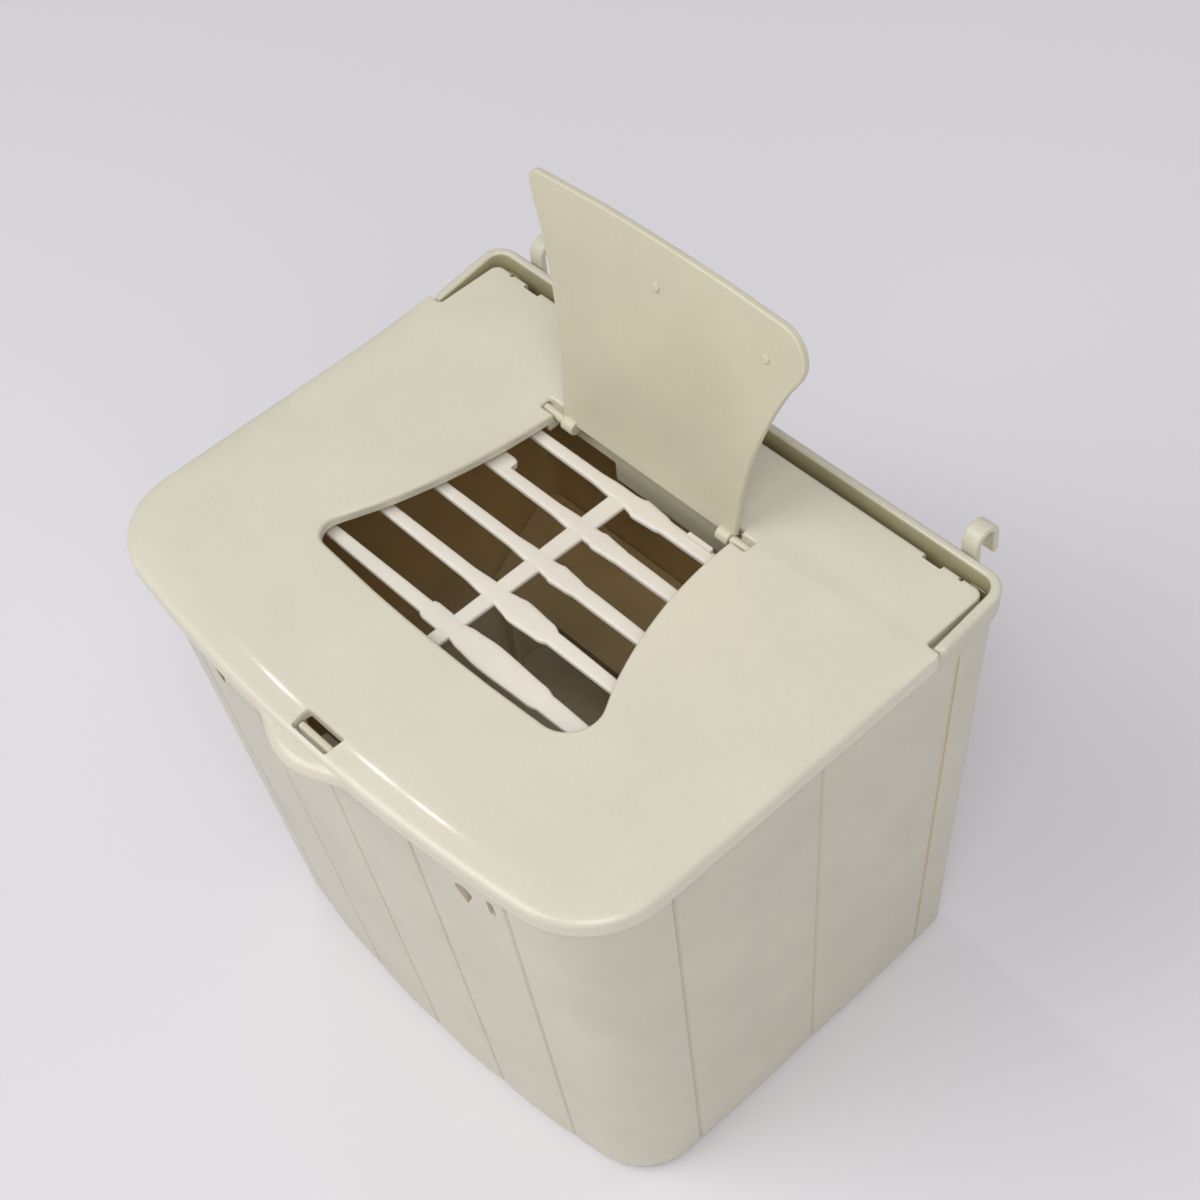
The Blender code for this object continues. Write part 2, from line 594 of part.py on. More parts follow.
def build_grid():
    z_low = GRID_TOP - GRID_T
    ring_out = rounded([(-0.0420, 0.0405, 0.004), (-0.0560, -0.0450, 0.006), (0.0560, -0.0450, 0.006),
                        (0.0420, 0.0405, 0.004)], 4)
    ring_in = rounded([(-0.0375, 0.0360, 0.003), (-0.0508, -0.0412, 0.004), (0.0508, -0.0412, 0.004),
                       (0.0375, 0.0360, 0.003)], 4)
    grid = plate("lid_grid", [ring_out, ring_in], z_low, GRID_TOP, "grid")
    shapes = (
        # bar width at the left, widest paddle, where the paddle ends, tail width
        (0.0030, 0.0062, 0.0120, 0.0034),
        (0.0030, 0.0054, 0.0115, 0.0034),
        (0.0030, 0.0058, 0.0110, 0.0034),
        (0.0032, 0.0069, 0.0170, 0.0033),
        (0.0034, 0.0076, 0.0290, 0.0042),
    )
    for k, (y, shape) in enumerate(zip(BAR_Y, shapes)):
        reach = 0.0395 + (0.0360 - y) * 0.172
        narrow, paddle, paddle_end, tail = shape
        outline = bar_outline(y, -reach, reach, narrow, paddle, paddle_end, tail)
        bar = plate("grid_bar_%d" % (k + 1), [outline], z_low + 0.0001, GRID_TOP - 0.0001, None, 0.00035)
        combine(grid, bar, "UNION")
    cross = rounded([(CROSS_X - 0.0026, BAR_Y[0] + 0.0005, 0.0), (CROSS_X - 0.0019, -0.0437, 0.0),
                     (CROSS_X + 0.0019, -0.0437, 0.0), (CROSS_X + 0.0026, BAR_Y[0] + 0.0005, 0.0)])
    combine(grid, plate("grid_cross", [cross], z_low + 0.0002, GRID_TOP - 0.0002, None, 0.0003), "UNION")

    # thick rounded stub on the second bar, and a step on the fifth bar left of the crossbar
    y = BAR_Y[1] + 0.0023
    stub = rounded([(-0.0410, y - 0.0026, 0.0), (-0.0282, y - 0.0026, 0.0022), (-0.0282, y + 0.0021, 0.0020),
                    (-0.0410, y + 0.0021, 0.0)], 5)
    combine(grid, plate("grid_stub", [stub], z_low + 0.00015, GRID_TOP - 0.00005, None, 0.0004), "UNION")
    y = BAR_Y[4]
    step = [(-0.0098, y - 0.0028), (CROSS_X + 0.001, y - 0.0027), (CROSS_X + 0.001, y + 0.0027), (-0.0098, y + 0.0028)]
    combine(grid, plate("grid_step", [step], z_low + 0.00005, GRID_TOP - 0.00015, None, 0.0003), "UNION")
    upstand = box("grid_upstand", (0.0185, 0.0240, z_low + 0.0005), (0.0262, 0.0252, GRID_TOP + 0.0011))
    combine(grid, upstand, "UNION")

    for k, (px, py) in enumerate(GRID_SCREWS):
        for side in (-1, 1):
            x = side * px
            tag = "%d_%d" % (k, side)
            low, high = sorted((side * (px - 0.0080), x))
            lug = box("grid_lug_" + tag, (low, py - 0.0030, z_low + 0.0002), (high, py + 0.0030, GRID_TOP - 0.0002))
            combine(grid, lug, "UNION")
            pad = rod("grid_pad_" + tag, (x, py, z_low + 0.0001), (x, py, GRID_TOP - 0.0001), 0.0036, None, 20)
            combine(grid, pad, "UNION")
            hole = rod("grid_hole_" + tag, (x, py, z_low - 0.001), (x, py, GRID_TOP + 0.001), 0.0015, None, 14)
            combine(grid, hole, "DIFFERENCE")
    return grid


# ---------------------------------------------------------------- small pieces
def make_screw(name, at, direction, length, shank_r, head_r):
    """Pan-head screw: a turned profile with a cross recess.  The underside of the head sits at the point."""
    profile = [(0.0, 0.0014), (head_r * 0.62, 0.0013), (head_r * 0.92, 0.0008), (head_r, 0.0002), (head_r * 0.98, 0.0),
               (shank_r, 0.0), (shank_r, -length + 0.0008), (0.0, -length)]
    mesh = bpy.data.meshes.new(name)
    bm = bmesh.new()
    verts = [bm.verts.new((x, 0.0, z)) for x, z in profile]
    for a, b in zip(verts, verts[1:]):
        bm.edges.new((a, b))
    bm.to_mesh(mesh)
    bm.free()
    obj = add_object(name, mesh, "steel")
    screw = obj.modifiers.new("turn", "SCREW")
    screw.steps = 12
    screw.render_steps = 12
    screw.use_merge_vertices = True
    screw.merge_threshold = 0.00001
    screw.use_smooth_shade = True
    for k in range(2):
        size = (head_r * 0.62, 0.00022) if k == 0 else (0.00022, head_r * 0.62)
        recess = box("%s_recess_%d" % (name, k), (-size[0], -size[1], 0.0007), (size[0], size[1], 0.0030))
        combine(obj, recess, "DIFFERENCE")
        recess.parent = obj
    obj.rotation_euler = Vector((0, 0, 1)).rotation_difference(-Vector(direction)).to_euler()
    obj.location = at
    return obj


def build_catch():
    """Snap catch: a tongue through the lid slot on a thin leg that is screwed to the front wall."""
    y, z = CATCH_AXIS
    leg_out = -0.0659
    catch = side_plate("front_catch", [
        (leg_out, z - 0.0050), (leg_out + 0.0020, z - 0.0050), (leg_out + 0.0020, z + 0.0040),
        (-0.0663, 0.1335), (-0.0663, 0.1372), (-0.0709, 0.1384), (-0.0709, 0.1462), (-0.0727, 0.1462),
        (-0.0727, 0.1345), (-0.0683, 0.1335), (-0.0674, z + 0.0085), (leg_out, z + 0.0042)],
        CATCH_X - 0.0055, CATCH_X + 0.0055, "inner", 0.0003)
    hole = rod("catch_hole", (CATCH_X, -0.075, z), (CATCH_X, -0.060, z), 0.0016, None, 16)
    combine(catch, hole, "DIFFERENCE")
    re_origin(catch, (CATCH_X, y, z))
    for mod in catch.modifiers:
        re_origin(mod.object, (CATCH_X, y, z))
        mod.object.parent = catch
        mod.object.location = (0.0, 0.0, 0.0)
    return catch


def build_ramp():
    """Sloped floor that feeds the window, trimmed to the inside of the tub."""
    slope = side_plate("feed_ramp", [
        (-0.0660, 0.0862), (0.0180, 0.0120), (0.0560, 0.0062), (0.0560, 0.0062 + RAMP_T),
        (0.0188, 0.0120 + RAMP_T), (-0.0660, 0.0862 + RAMP_T * 1.3)], -0.090, 0.090, "inner")
    for side in (-1, 1):
        x = 0.036 * side
        rib = side_plate("ramp_rib_%d" % side, [
            (-0.0400, 0.0030), (0.0150, 0.0030), (0.0150, 0.0150), (-0.0400, 0.0636)], x - 0.0010, x + 0.0010)
        combine(slope, rib, "UNION")
    # hood over the trough, on two side cheeks, which keeps feed from pouring out of the window
    y, z = HOOD_FRONT
    hood = side_plate("trough_hood", [
        (y, z), (y + 0.0010, z - HOOD_T), (0.0600, HOOD_REAR_Z - HOOD_T * 1.3), (0.0600, HOOD_REAR_Z)], -0.090, 0.090)
    combine(slope, hood, "UNION")
    for side in (-1, 1):
        low, high = sorted((side * 0.0688, side * 0.0900))
        combine(slope, box("hood_cheek_%d" % side, (low, y, 0.0100), (high, y + 0.0020, z)), "UNION")
    trim = plate("ramp_trim", [tub_outline(WALL + 0.0004, False)], 0.0029, 0.120)
    taper(trim, WALL + 0.0004, 0.0)
    combine(slope, trim, "INTERSECT")
    return slope


def build_lip():
    """Angle strip on the sill of the feeding window, which keeps feed from spilling out."""
    low = WINDOW_Z[0]
    lip = side_plate("feed_lip", [
        (0.0538, 0.0112), (0.0566, 0.0112), (0.0566, low + CLEAR), (0.0592, low + CLEAR), (0.0592, low + 0.0025),
        (0.0566, low + 0.0032), (0.0566, low + 0.0110), (0.0538, low + 0.0110)],
        -0.0446, 0.0446, "inner", 0.0003)
    return lip


def build_hook(name, side):
    """Hook plate on the rear wall with a strap that curls over a cage wire."""
    y0 = REAR_OUT + CLEAR
    y1 = y0 + HOOK_T
    centre = (y1 + HOOK_WIRE_R, HOOK_TOP_Z)
    inner = [(centre[0] + HOOK_WIRE_R * math.cos(a), centre[1] + HOOK_WIRE_R * math.sin(a))
             for a in [math.radians(180 - 18 * k) for k in range(11)]]
    r_out = HOOK_WIRE_R + HOOK_T
    outer = [(centre[0] + r_out * math.cos(a), centre[1] + r_out * math.sin(a))
             for a in [math.radians(18 * k) for k in range(11)]]
    loop = [(y0, 0.1400), (y1, 0.1400)] + inner + [(centre[0] + HOOK_WIRE_R, 0.1460)]
    loop += [(centre[0] + HOOK_WIRE_R + 0.0010, 0.1452), (centre[0] + r_out, 0.1462)] + outer
    x = side * HOOK_X
    hook = side_plate(name, loop, x - HOOK_W / 2.0, x + HOOK_W / 2.0, "body", 0.0004)
    base = rounded([(x - 0.0052, 0.1140, 0.002), (x + 0.0052, 0.1140, 0.002), (x + 0.0052, 0.1390, 0.0015),
                    (x + 0.0021, 0.1440, 0.0), (x - 0.0021, 0.1440, 0.0), (x - 0.0052, 0.1390, 0.0015)], 4)
    foot = plate(name + "_foot", [base], 0.0, HOOK_T, None, 0.0004)
    foot.data.transform(Matrix(((1, 0, 0, 0), (0, 0, 1, y0), (0, 1, 0, 0), (0, 0, 0, 1))))
    foot.data.flip_normals()
    combine(hook, foot, "UNION")
    for k, z in enumerate(HOOK_SCREW_Z):
        hole = rod("%s_hole_%d" % (name, k), (x, 0.055, z), (x, 0.070, z), 0.0017, None, 16)
        combine(hook, hole, "DIFFERENCE")
    return hook


def build_small_pieces():
    y, z = LID_AXIS
    fy, fz = FLAP_AXIS
    for side, tag in ((-1, "left"), (1, "right")):
        rod("lid_pin_" + tag, (side * 0.0745, y, z), (side * 0.0834, y, z), LID_PIN_R, "steel")
        end = opening_half_width(fy, side) + SOCKET_DEPTH - 0.0015
        rod("flap_pin_" + tag, (side * 0.0250, fy, fz), (side * end, fy, fz), FLAP_PIN_R, "flap", 16)
        hook = "hook_" + tag
        build_hook(hook, side)
        for k, screw_z in enumerate(HOOK_SCREW_Z):
            make_screw("%s_screw_%d" % (hook, k + 1), (side * HOOK_X, REAR_OUT + HOOK_T + 2 * CLEAR, screw_z),
                       (0, -1, 0), 0.0078, 0.0010, 0.0024)
    names = (("rear", GRID_SCREWS[0]), ("front", GRID_SCREWS[1]))
    for row, (px, py) in names:
        for side, tag in ((-1, "left"), (1, "right")):
            make_screw("grid_screw_%s_%s" % (row, tag), (side * px, py, GRID_TOP - GRID_T - CLEAR),
                       (0, 0, 1), 0.0045, 0.0009, 0.0022)
    make_screw("catch_screw", (CATCH_X, -0.0659 + 0.0020 + CLEAR, CATCH_AXIS[1]), (0, -1, 0), 0.0040, 0.0010, 0.0022)


clear_scene()
PARTS = make_collection("rabbit_hopper_feeder")
CUTTERS = make_collection("cutters")
build_body()
build_lid()
build_flap()
build_grid()
build_catch()
build_ramp()
build_lip()
build_small_pieces()
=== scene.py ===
"""Looks for the rabbit hopper feeder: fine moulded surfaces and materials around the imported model.

Metres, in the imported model's frame.  +Y points to the cage, -Y is the front and the base stands on z = 0.
"""
import json
import math

import bmesh
import bpy
from mathutils import Matrix, Vector

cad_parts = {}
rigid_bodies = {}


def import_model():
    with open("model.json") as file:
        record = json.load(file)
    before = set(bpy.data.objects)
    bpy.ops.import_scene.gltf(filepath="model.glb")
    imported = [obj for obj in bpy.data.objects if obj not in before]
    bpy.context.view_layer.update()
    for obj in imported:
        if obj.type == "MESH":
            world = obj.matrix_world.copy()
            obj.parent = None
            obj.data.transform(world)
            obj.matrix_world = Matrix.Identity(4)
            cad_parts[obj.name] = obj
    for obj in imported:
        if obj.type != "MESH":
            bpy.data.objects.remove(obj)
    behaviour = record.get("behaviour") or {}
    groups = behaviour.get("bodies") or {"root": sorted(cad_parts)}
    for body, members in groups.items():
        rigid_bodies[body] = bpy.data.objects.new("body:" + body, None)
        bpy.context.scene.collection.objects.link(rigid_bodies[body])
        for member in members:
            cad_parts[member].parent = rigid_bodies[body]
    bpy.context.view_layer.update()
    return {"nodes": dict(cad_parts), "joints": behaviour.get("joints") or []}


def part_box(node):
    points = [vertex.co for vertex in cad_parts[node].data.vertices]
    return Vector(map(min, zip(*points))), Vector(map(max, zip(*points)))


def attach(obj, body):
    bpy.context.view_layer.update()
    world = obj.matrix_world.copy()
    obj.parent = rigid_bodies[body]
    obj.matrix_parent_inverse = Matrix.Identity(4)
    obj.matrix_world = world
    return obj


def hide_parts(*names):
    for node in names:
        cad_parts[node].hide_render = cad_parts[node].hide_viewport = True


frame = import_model()
NODES = frame["nodes"]

# ---------------------------------------------------------------- sizes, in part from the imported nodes
CLEAR = 0.0003
BODY_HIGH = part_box("hopper_body")[1]
LID_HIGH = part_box("main_lid")[1]

BODY_TOP = BODY_HIGH.z - 0.0054     # top edge of the front and side walls
RIM_TOP = BODY_HIGH.z
RIM_HALF_W = BODY_HIGH.x
REAR_OUT = BODY_HIGH.y
BODY_HALF_W = RIM_HALF_W - 0.0021
BASE_HALF_W = BODY_HALF_W - 0.0101
WALL = 0.0025
FLOOR = 0.0026
FRONT_Y = -0.0646
FRONT_BOW = 0.0078
BASE_DEPTH = 0.1190
BASE_ROUND = 0.0040
CORNER_R = 0.0190
FRONT_GROOVES = (0.0, 0.0283, 0.0565)
SIDE_GROOVES = (-0.044, 0.001, 0.045)
GROOVE_DEPTH = 0.0008
GROOVE_HALF = 0.00065
PILLOW = 0.00040

RIM_T = 0.0028
RIM_BOTTOM = 0.1330
RIM_FLARE_TOP = 0.1450      # up to here the rim's block widens from its foot
RIM_FOOT_HALF_W = 0.0816
RIM_R = 0.0065
RIM_FRONT = 0.0358
RIM_LEVEL_FROM = 0.0560      # behind this place the rim's top is level
RIM_FALL = 0.0032            # how much lower its front ends are
LEDGE_Z = 0.1442
ABOVE_ALL = 0.1560           # clear of the tub's highest point
SWING_X = (0.0700, 0.0813)   # room for the lid's rear corners as it swings up
SWING_Y = (0.0460, 0.0568)
SWING_Z = (0.1368, 0.1450)
SWING_R = 0.0018
WINDOW_HALF_W = 0.0450
WINDOW_Z = (0.0160, 0.0600)
KEYHOLE = (0.0435, 0.1265, 0.0024, 0.1212)      # place along X, height, radius, height of its point
SIDE_SLOT = (0.0515, 0.0009, 0.1240, 0.1300)    # place along X, half width, lower and upper end
RIM_BORE_X = (0.0780, 0.0838)       # bores for the lid's pins
RAMP_LEDGE_X = (0.0700, 0.0744)     # ledges in the tub that carry the sloped floor
RAMP_LEDGE_Y = (-0.0340, -0.0180)
RAMP_LEDGE_Z = (0.0405, 0.0431)

LID_TOP = 0.1476
LID_T = 0.0026
LID_HALF_W = LID_HIGH.x
LID_REAR_HALF_W = 0.0809
LID_REAR_Y = LID_HIGH.y
LID_FRONT_Y = -0.0676
LID_BOW = 0.0078
LID_CORNER_R = 0.0220
LID_STEP_Y = 0.0353
SKIRT_T = 0.0016
SKIRT_BOTTOM = 0.1425
LIP_HALF_W = 0.0150
LIP_MID, LIP_HIGH, LIP_REACH = 0.1425, 0.0030, 0.0046
REAR_NOTCHES = ((0.0638, 0.0693, 0.0016), (0.0739, 0.0751, 0.0012))     # near, far, depth
FLANGE_Y = (0.0323, 0.0341)
PIN_BORE_R = 0.00155
LID_BOSS_X = (0.0742, 0.0797)
LID_BOSS_R = 0.0029
LID_BORE_X = (0.0730, 0.0810)       # longer than the bosses, so that the bores are open at both ends

OPEN_REAR = 0.0322
OPEN_FRONT = -0.0363
OPEN_RIGHT = (0.0293, -0.064, 5.18)      # half width: at the rear edge, its slope and its curve
OPEN_LEFT = (0.0303, 0.0144, 3.14)
OPEN_CORNERS = (0.0080, 0.0050)
OPEN_BOW = 0.0012
FLAP_T = 0.0022
FLAP_LEN = 0.0648
FLAP_GAPS = (0.0006, 0.0015)
FLAP_CORNERS = (0.0080, 0.0030)
FLAP_BARREL_X = (0.0240, 0.0279)
FLAP_BARREL_R = 0.0020
FLAP_BORE_R = 0.0015
FLAP_BORE_X = (0.0247, 0.0290)      # blind bores in the barrels, open at the outer end
FLAP_NUBS_X = (-0.0010, 0.0320)

GRID_TOP = 0.1436
GRID_T = 0.0020
BAR_Y = (0.0233, 0.0099, -0.0035, -0.0169, -0.0303)
CROSS_X = -0.0018
GRID_SCREWS = ((0.0470, 0.0370), (0.0610, -0.0395))

CATCH_X = 0.0020
SLOT_HALF_W = 0.0059
SLOT_Y = (-0.0740, -0.0686)
NOTCH_HALF_W = 0.0063
NOTCH_Y = (-0.0800, -0.0640)        # through the tub's front wall
NOTCH_Z = (0.1325, 0.1500)
HOOK_X = 0.0715
HOOK_W = 0.0046
HOOK_TOP_Z = 0.1515
HOOK_T = 0.0019
HOOK_WIRE_R = 0.0021
HOOK_SCREW_Z = (0.1195, 0.1305)


def joint_place(name):
    joint = next(j for j in frame["joints"] if j["name"] == name)
    return Vector(joint["pos_m"]), joint["range_deg"][1]


LID_AXIS = joint_place("lid_hinge")[0]
FLAP_AXIS, FLAP_OPEN = joint_place("flap_hinge")
CATCH_AXIS = joint_place("catch_flex")[0]


# ---------------------------------------------------------------- camera, light and floor
def aim(obj, target):
    obj.rotation_euler = (Vector(target) - obj.location).to_track_quat("-Z", "Y").to_euler()


def build_stage():
    cam = bpy.data.cameras.new("camera")
    cam.lens = 67.2129
    cam.sensor_width = 36.0
    eye = bpy.data.objects.new("camera", cam)
    bpy.context.scene.collection.objects.link(eye)
    eye.location = (0.27319, -0.20253, 0.52857)
    eye.rotation_euler = [math.radians(a) for a in (39.9314, 4.4631, 46.6404)]
    bpy.context.scene.camera = eye

    bm = bmesh.new()
    bmesh.ops.create_grid(bm, x_segments=24, y_segments=24, size=3.0)
    mesh = bpy.data.meshes.new("floor")
    bm.to_mesh(mesh)
    bm.free()
    floor = bpy.data.objects.new("floor", mesh)
    bpy.context.scene.collection.objects.link(floor)
    mesh.materials.append(stage_material())

    lamps = (
        # name, place, size, watts
        ("key", (-0.55, -1.05, 1.40), 1.2, 14.6),
        ("fill", (1.10, -0.75, 0.90), 1.0, 4.0),
        ("front_fill", (0.50, -0.42, 1.10), 0.50, 3.7),
        ("rear_fill", (0.55, 1.45, 0.80), 1.2, 4.5),
        ("glint_left", (-0.535, 0.10, 0.855), 0.018, 0.13),
        ("glint_middle", (-0.454, 0.10, 0.89), 0.018, 0.13),
        ("glint_right", (-0.412, 0.10, 0.91), 0.018, 0.13),
    )
    for name, place, size, watts in lamps:
        lamp = bpy.data.lights.new(name, "AREA")
        lamp.size = size
        lamp.energy = watts
        obj = bpy.data.objects.new(name, lamp)
        bpy.context.scene.collection.objects.link(obj)
        obj.location = place
        aim(obj, (0.0, 0.0, 0.12))
    world = bpy.data.worlds.new("studio")
    bpy.context.scene.world = world
    world.use_nodes = True
    sky = world.node_tree.nodes["Background"]
    sky.inputs[0].default_value = (0.82, 0.82, 0.86, 1.0)
    sky.inputs[1].default_value = 0.43
    bpy.context.scene.view_settings.view_transform = "Standard"


def stage_material():
    mat = bpy.data.materials.new("pale_floor")
    mat.use_nodes = True
    shader = mat.node_tree.nodes["Principled BSDF"]
    shader.inputs["Base Color"].default_value = (0.745, 0.73, 0.755, 1.0)
    shader.inputs["Roughness"].default_value = 0.75
    return mat


# ---------------------------------------------------------------- materials
def node(mat, kind, **values):
    made = mat.node_tree.nodes.new(kind)
    for key, value in values.items():
        setattr(made, key, value)
    return made


def ramp(mat, source, stops):
    """Colour ramp fed by a node's output, with stops of (place, colour)."""
    made = node(mat, "ShaderNodeValToRGB")
    band = made.color_ramp
    while len(band.elements) < len(stops):
        band.elements.new(0.5)
    for element, (place, colour) in zip(band.elements, stops):
        element.position = place
        element.color = (*colour, 1.0)
    mat.node_tree.links.new(source, made.inputs["Fac"])
    return made.outputs["Color"]


def mix(mat, how, factor, first, second):
    made = node(mat, "ShaderNodeMix", data_type="RGBA", blend_type=how)
    links = mat.node_tree.links
    for socket, value in ((made.inputs[0], factor), (made.inputs[6], first), (made.inputs[7], second)):
        if isinstance(value, bpy.types.NodeSocket):
            links.new(value, socket)
        else:
            socket.default_value = value if isinstance(value, float) else (*value, 1.0)
    return made.outputs[2]


def scaled(colour, factor):
    return tuple(c * factor for c in colour)


def plastic(name, rough, colour=None, tint=0.0, deep=None, coat=0.0):
    """Moulded plastic: a cloudy tint, fine speckle, faint flow marks and a slight grain.

    With deep, a list of (height in metres, colour), the colour follows the height and is blotched.
    """
    mat = bpy.data.materials.new(name)
    mat.use_nodes = True
    links = mat.node_tree.links
    shader = mat.node_tree.nodes["Principled BSDF"]
    shader.inputs["IOR"].default_value = 1.52
    shader.inputs["Coat Weight"].default_value = coat
    shader.inputs["Coat Roughness"].default_value = 0.09
    where = node(mat, "ShaderNodeTexCoord").outputs["Object"]

    def noise(scale, detail, roughness=0.5):
        made = node(mat, "ShaderNodeTexNoise")
        made.inputs["Scale"].default_value = scale
        made.inputs["Detail"].default_value = detail
        made.inputs["Roughness"].default_value = roughness
        links.new(where, made.inputs["Vector"])
        return made.outputs["Fac"]

    cloud = noise(38.0, 3.0)
    if deep:
        low, high = deep[0][0], deep[-1][0]
        split = node(mat, "ShaderNodeSeparateXYZ")
        links.new(where, split.inputs[0])
        height = node(mat, "ShaderNodeMapRange")
        height.inputs["From Min"].default_value = low
        height.inputs["From Max"].default_value = high
        links.new(split.outputs["Z"], height.inputs["Value"])
        stops = [((z - low) / (high - low), tone) for z, tone in deep]
        graded = ramp(mat, height.outputs["Result"], stops)
        blotches = ramp(mat, cloud, ((0.3, (0.78, 0.78, 0.78)), (0.7, (1.0, 1.0, 1.0))))
        base = mix(mat, "MULTIPLY", 0.8, graded, blotches)
    else:
        darker, lighter = scaled(colour, 1.0 - tint), scaled(colour, 1.0 + tint * 0.5)
        base = ramp(mat, cloud, ((0.32, darker), (0.68, lighter)))
    speckle = ramp(mat, noise(900.0, 2.0), ((0.35, (0.965, 0.96, 0.95)), (0.62, (1.0, 1.0, 1.0))))
    base = mix(mat, "MULTIPLY", 0.6, base, speckle)
    links.new(base, shader.inputs["Base Color"])

    marks = node(mat, "ShaderNodeMapRange")
    marks.inputs["To Min"].default_value = rough * 0.82
    marks.inputs["To Max"].default_value = rough * 1.25
    links.new(noise(120.0, 4.0, 0.6), marks.inputs["Value"])
    links.new(marks.outputs["Result"], shader.inputs["Roughness"])

    wave = node(mat, "ShaderNodeBump")
    wave.inputs["Strength"].default_value = 0.07
    wave.inputs["Distance"].default_value = 0.0006
    links.new(noise(60.0, 2.0), wave.inputs["Height"])
    grain = node(mat, "ShaderNodeBump")
    grain.inputs["Strength"].default_value = 0.08
    grain.inputs["Distance"].default_value = 0.00012
    links.new(noise(2400.0, 2.0), grain.inputs["Height"])
    links.new(wave.outputs["Normal"], grain.inputs["Normal"])
    links.new(grain.outputs["Normal"], shader.inputs["Normal"])
    return mat


def plated_steel():
    """Zinc-plated steel with darker, slightly warmer patches that differ in gloss."""
    mat = bpy.data.materials.new("plated_steel")
    mat.use_nodes = True
    links = mat.node_tree.links
    shader = mat.node_tree.nodes["Principled BSDF"]
    shader.inputs["Metallic"].default_value = 1.0
    where = node(mat, "ShaderNodeTexCoord").outputs["Object"]
    patches = node(mat, "ShaderNodeTexNoise")
    patches.inputs["Scale"].default_value = 420.0
    patches.inputs["Detail"].default_value = 4.0
    links.new(where, patches.inputs["Vector"])
    tone = ramp(mat, patches.outputs["Fac"], ((0.3, (0.50, 0.49, 0.47)), (0.7, (0.68, 0.68, 0.69))))
    links.new(tone, shader.inputs["Base Color"])
    dull = node(mat, "ShaderNodeMapRange")
    dull.inputs["To Min"].default_value = 0.24
    dull.inputs["To Max"].default_value = 0.46
    links.new(patches.outputs["Fac"], dull.inputs["Value"])
    links.new(dull.outputs["Result"], shader.inputs["Roughness"])
    bump = node(mat, "ShaderNodeBump")
    bump.inputs["Strength"].default_value = 0.15
    bump.inputs["Distance"].default_value = 0.00005
    links.new(patches.outputs["Fac"], bump.inputs["Height"])
    links.new(bump.outputs["Normal"], shader.inputs["Normal"])
    return mat


# ---------------------------------------------------------------- mesh helpers
def add(name, mesh):
    obj = bpy.data.objects.new(name, mesh)
    bpy.context.scene.collection.objects.link(obj)
    return obj


def rounded(points, steps=10):
    """Outline through (x, y, radius) corners, with an arc wherever the radius is above zero."""
    out = []
    count = len(points)
    for i, (x, y, radius) in enumerate(points):
        here = Vector((x, y))
        if radius <= 0.0:
            out.append(here)
            continue
        back = (Vector(points[i - 1][:2]) - here).normalized()
        ahead = (Vector(points[(i + 1) % count][:2]) - here).normalized()
        half = back.angle(ahead) / 2.0
        centre = here + (back + ahead).normalized() * (radius / math.sin(half))
        start = here + back * (radius / math.tan(half)) - centre
        end = here + ahead * (radius / math.tan(half)) - centre
        sweep = math.atan2(start.x * end.y - start.y * end.x, start.dot(end))
        for k in range(steps + 1):
            out.append(centre + Matrix.Rotation(sweep * k / steps, 2) @ start)
    return out


def both_sides(right, rear_middle=None):
    """Corners at +X and then their mirror images, with a point between them where one is given."""
    middle = [rear_middle] if rear_middle else []
    return right + middle + [(-x, y, r) for x, y, r in reversed(right) if x > 0.0]


def rectangle(low, high, radius, steps=10):
    return rounded([(low[0], low[1], radius), (high[0], low[1], radius), (high[0], high[1], radius),
                    (low[0], high[1], radius)], steps)


def arc(across, up, radius, first, last, steps):
    """Points on a circle from a first to a last angle in degrees."""
    turns = [math.radians(first + (last - first) * k / steps) for k in range(steps + 1)]
    return [Vector((across + radius * math.cos(a), up + radius * math.sin(a))) for a in turns]


def quarter_turn(steps):
    return [math.radians(90.0 * k / steps) for k in range(steps + 1)]


def offset(outline, distance):
    """Counter-clockwise outline moved outward by a distance, or by a list of distances."""
    count = len(outline)
    distances = distance if isinstance(distance, list) else [distance] * count
    out = []
    for i, here in enumerate(outline):
        back = (here - outline[i - 1]).normalized()
        ahead = (outline[(i + 1) % count] - here).normalized()
        normal = Vector((back.y + ahead.y, -back.x - ahead.x)).normalized()
        reach = max(0.5, normal.dot(Vector((ahead.y, -ahead.x))))
        out.append(here + normal * distances[i] / reach)
    return out


def loft(name, rings):
    """Closed mesh through rings of equal count, lowest first, each a counter-clockwise list of 3-D points."""
    bm = bmesh.new()
    rows = [[bm.verts.new(p) for p in ring] for ring in rings]
    count = len(rows[0])
    for lower, upper in zip(rows, rows[1:]):
        for i in range(count):
            k = (i + 1) % count
            bm.faces.new((lower[i], lower[k], upper[k], upper[i]))
    bm.faces.new(rows[0][::-1])
    bm.faces.new(rows[-1])
    mesh = bpy.data.meshes.new(name)
    bm.to_mesh(mesh)
    bm.free()
    return add(name, mesh)


def flat_ring(outline, z):
    return [Vector((p.x, p.y, z)) for p in outline]


def slab(name, outline, low, high, round_low=0.0, round_high=0.0, steps=5):
    """Upright slab of an outline, its lower and upper edges rounded, or flared where a radius is negative."""
    rings = []
    for turn in quarter_turn(steps) if round_low else ():
        move = -round_low * (1.0 - math.sin(turn))
        rings.append(flat_ring(offset(outline, move), low + abs(round_low) * (1.0 - math.cos(turn))))
    if not round_low:
        rings.append(flat_ring(outline, low))
    if not round_high:
        rings.append(flat_ring(outline, high))
    for turn in quarter_turn(steps) if round_high else ():
        move = -round_high * (1.0 - math.cos(turn))
        rings.append(flat_ring(offset(outline, move), high - abs(round_high) * (1.0 - math.sin(turn))))
    return loft(name, rings)


def turned(obj, matrix):
    obj.data.transform(matrix)
    if matrix.determinant() < 0.0:
        obj.data.flip_normals()
    return obj


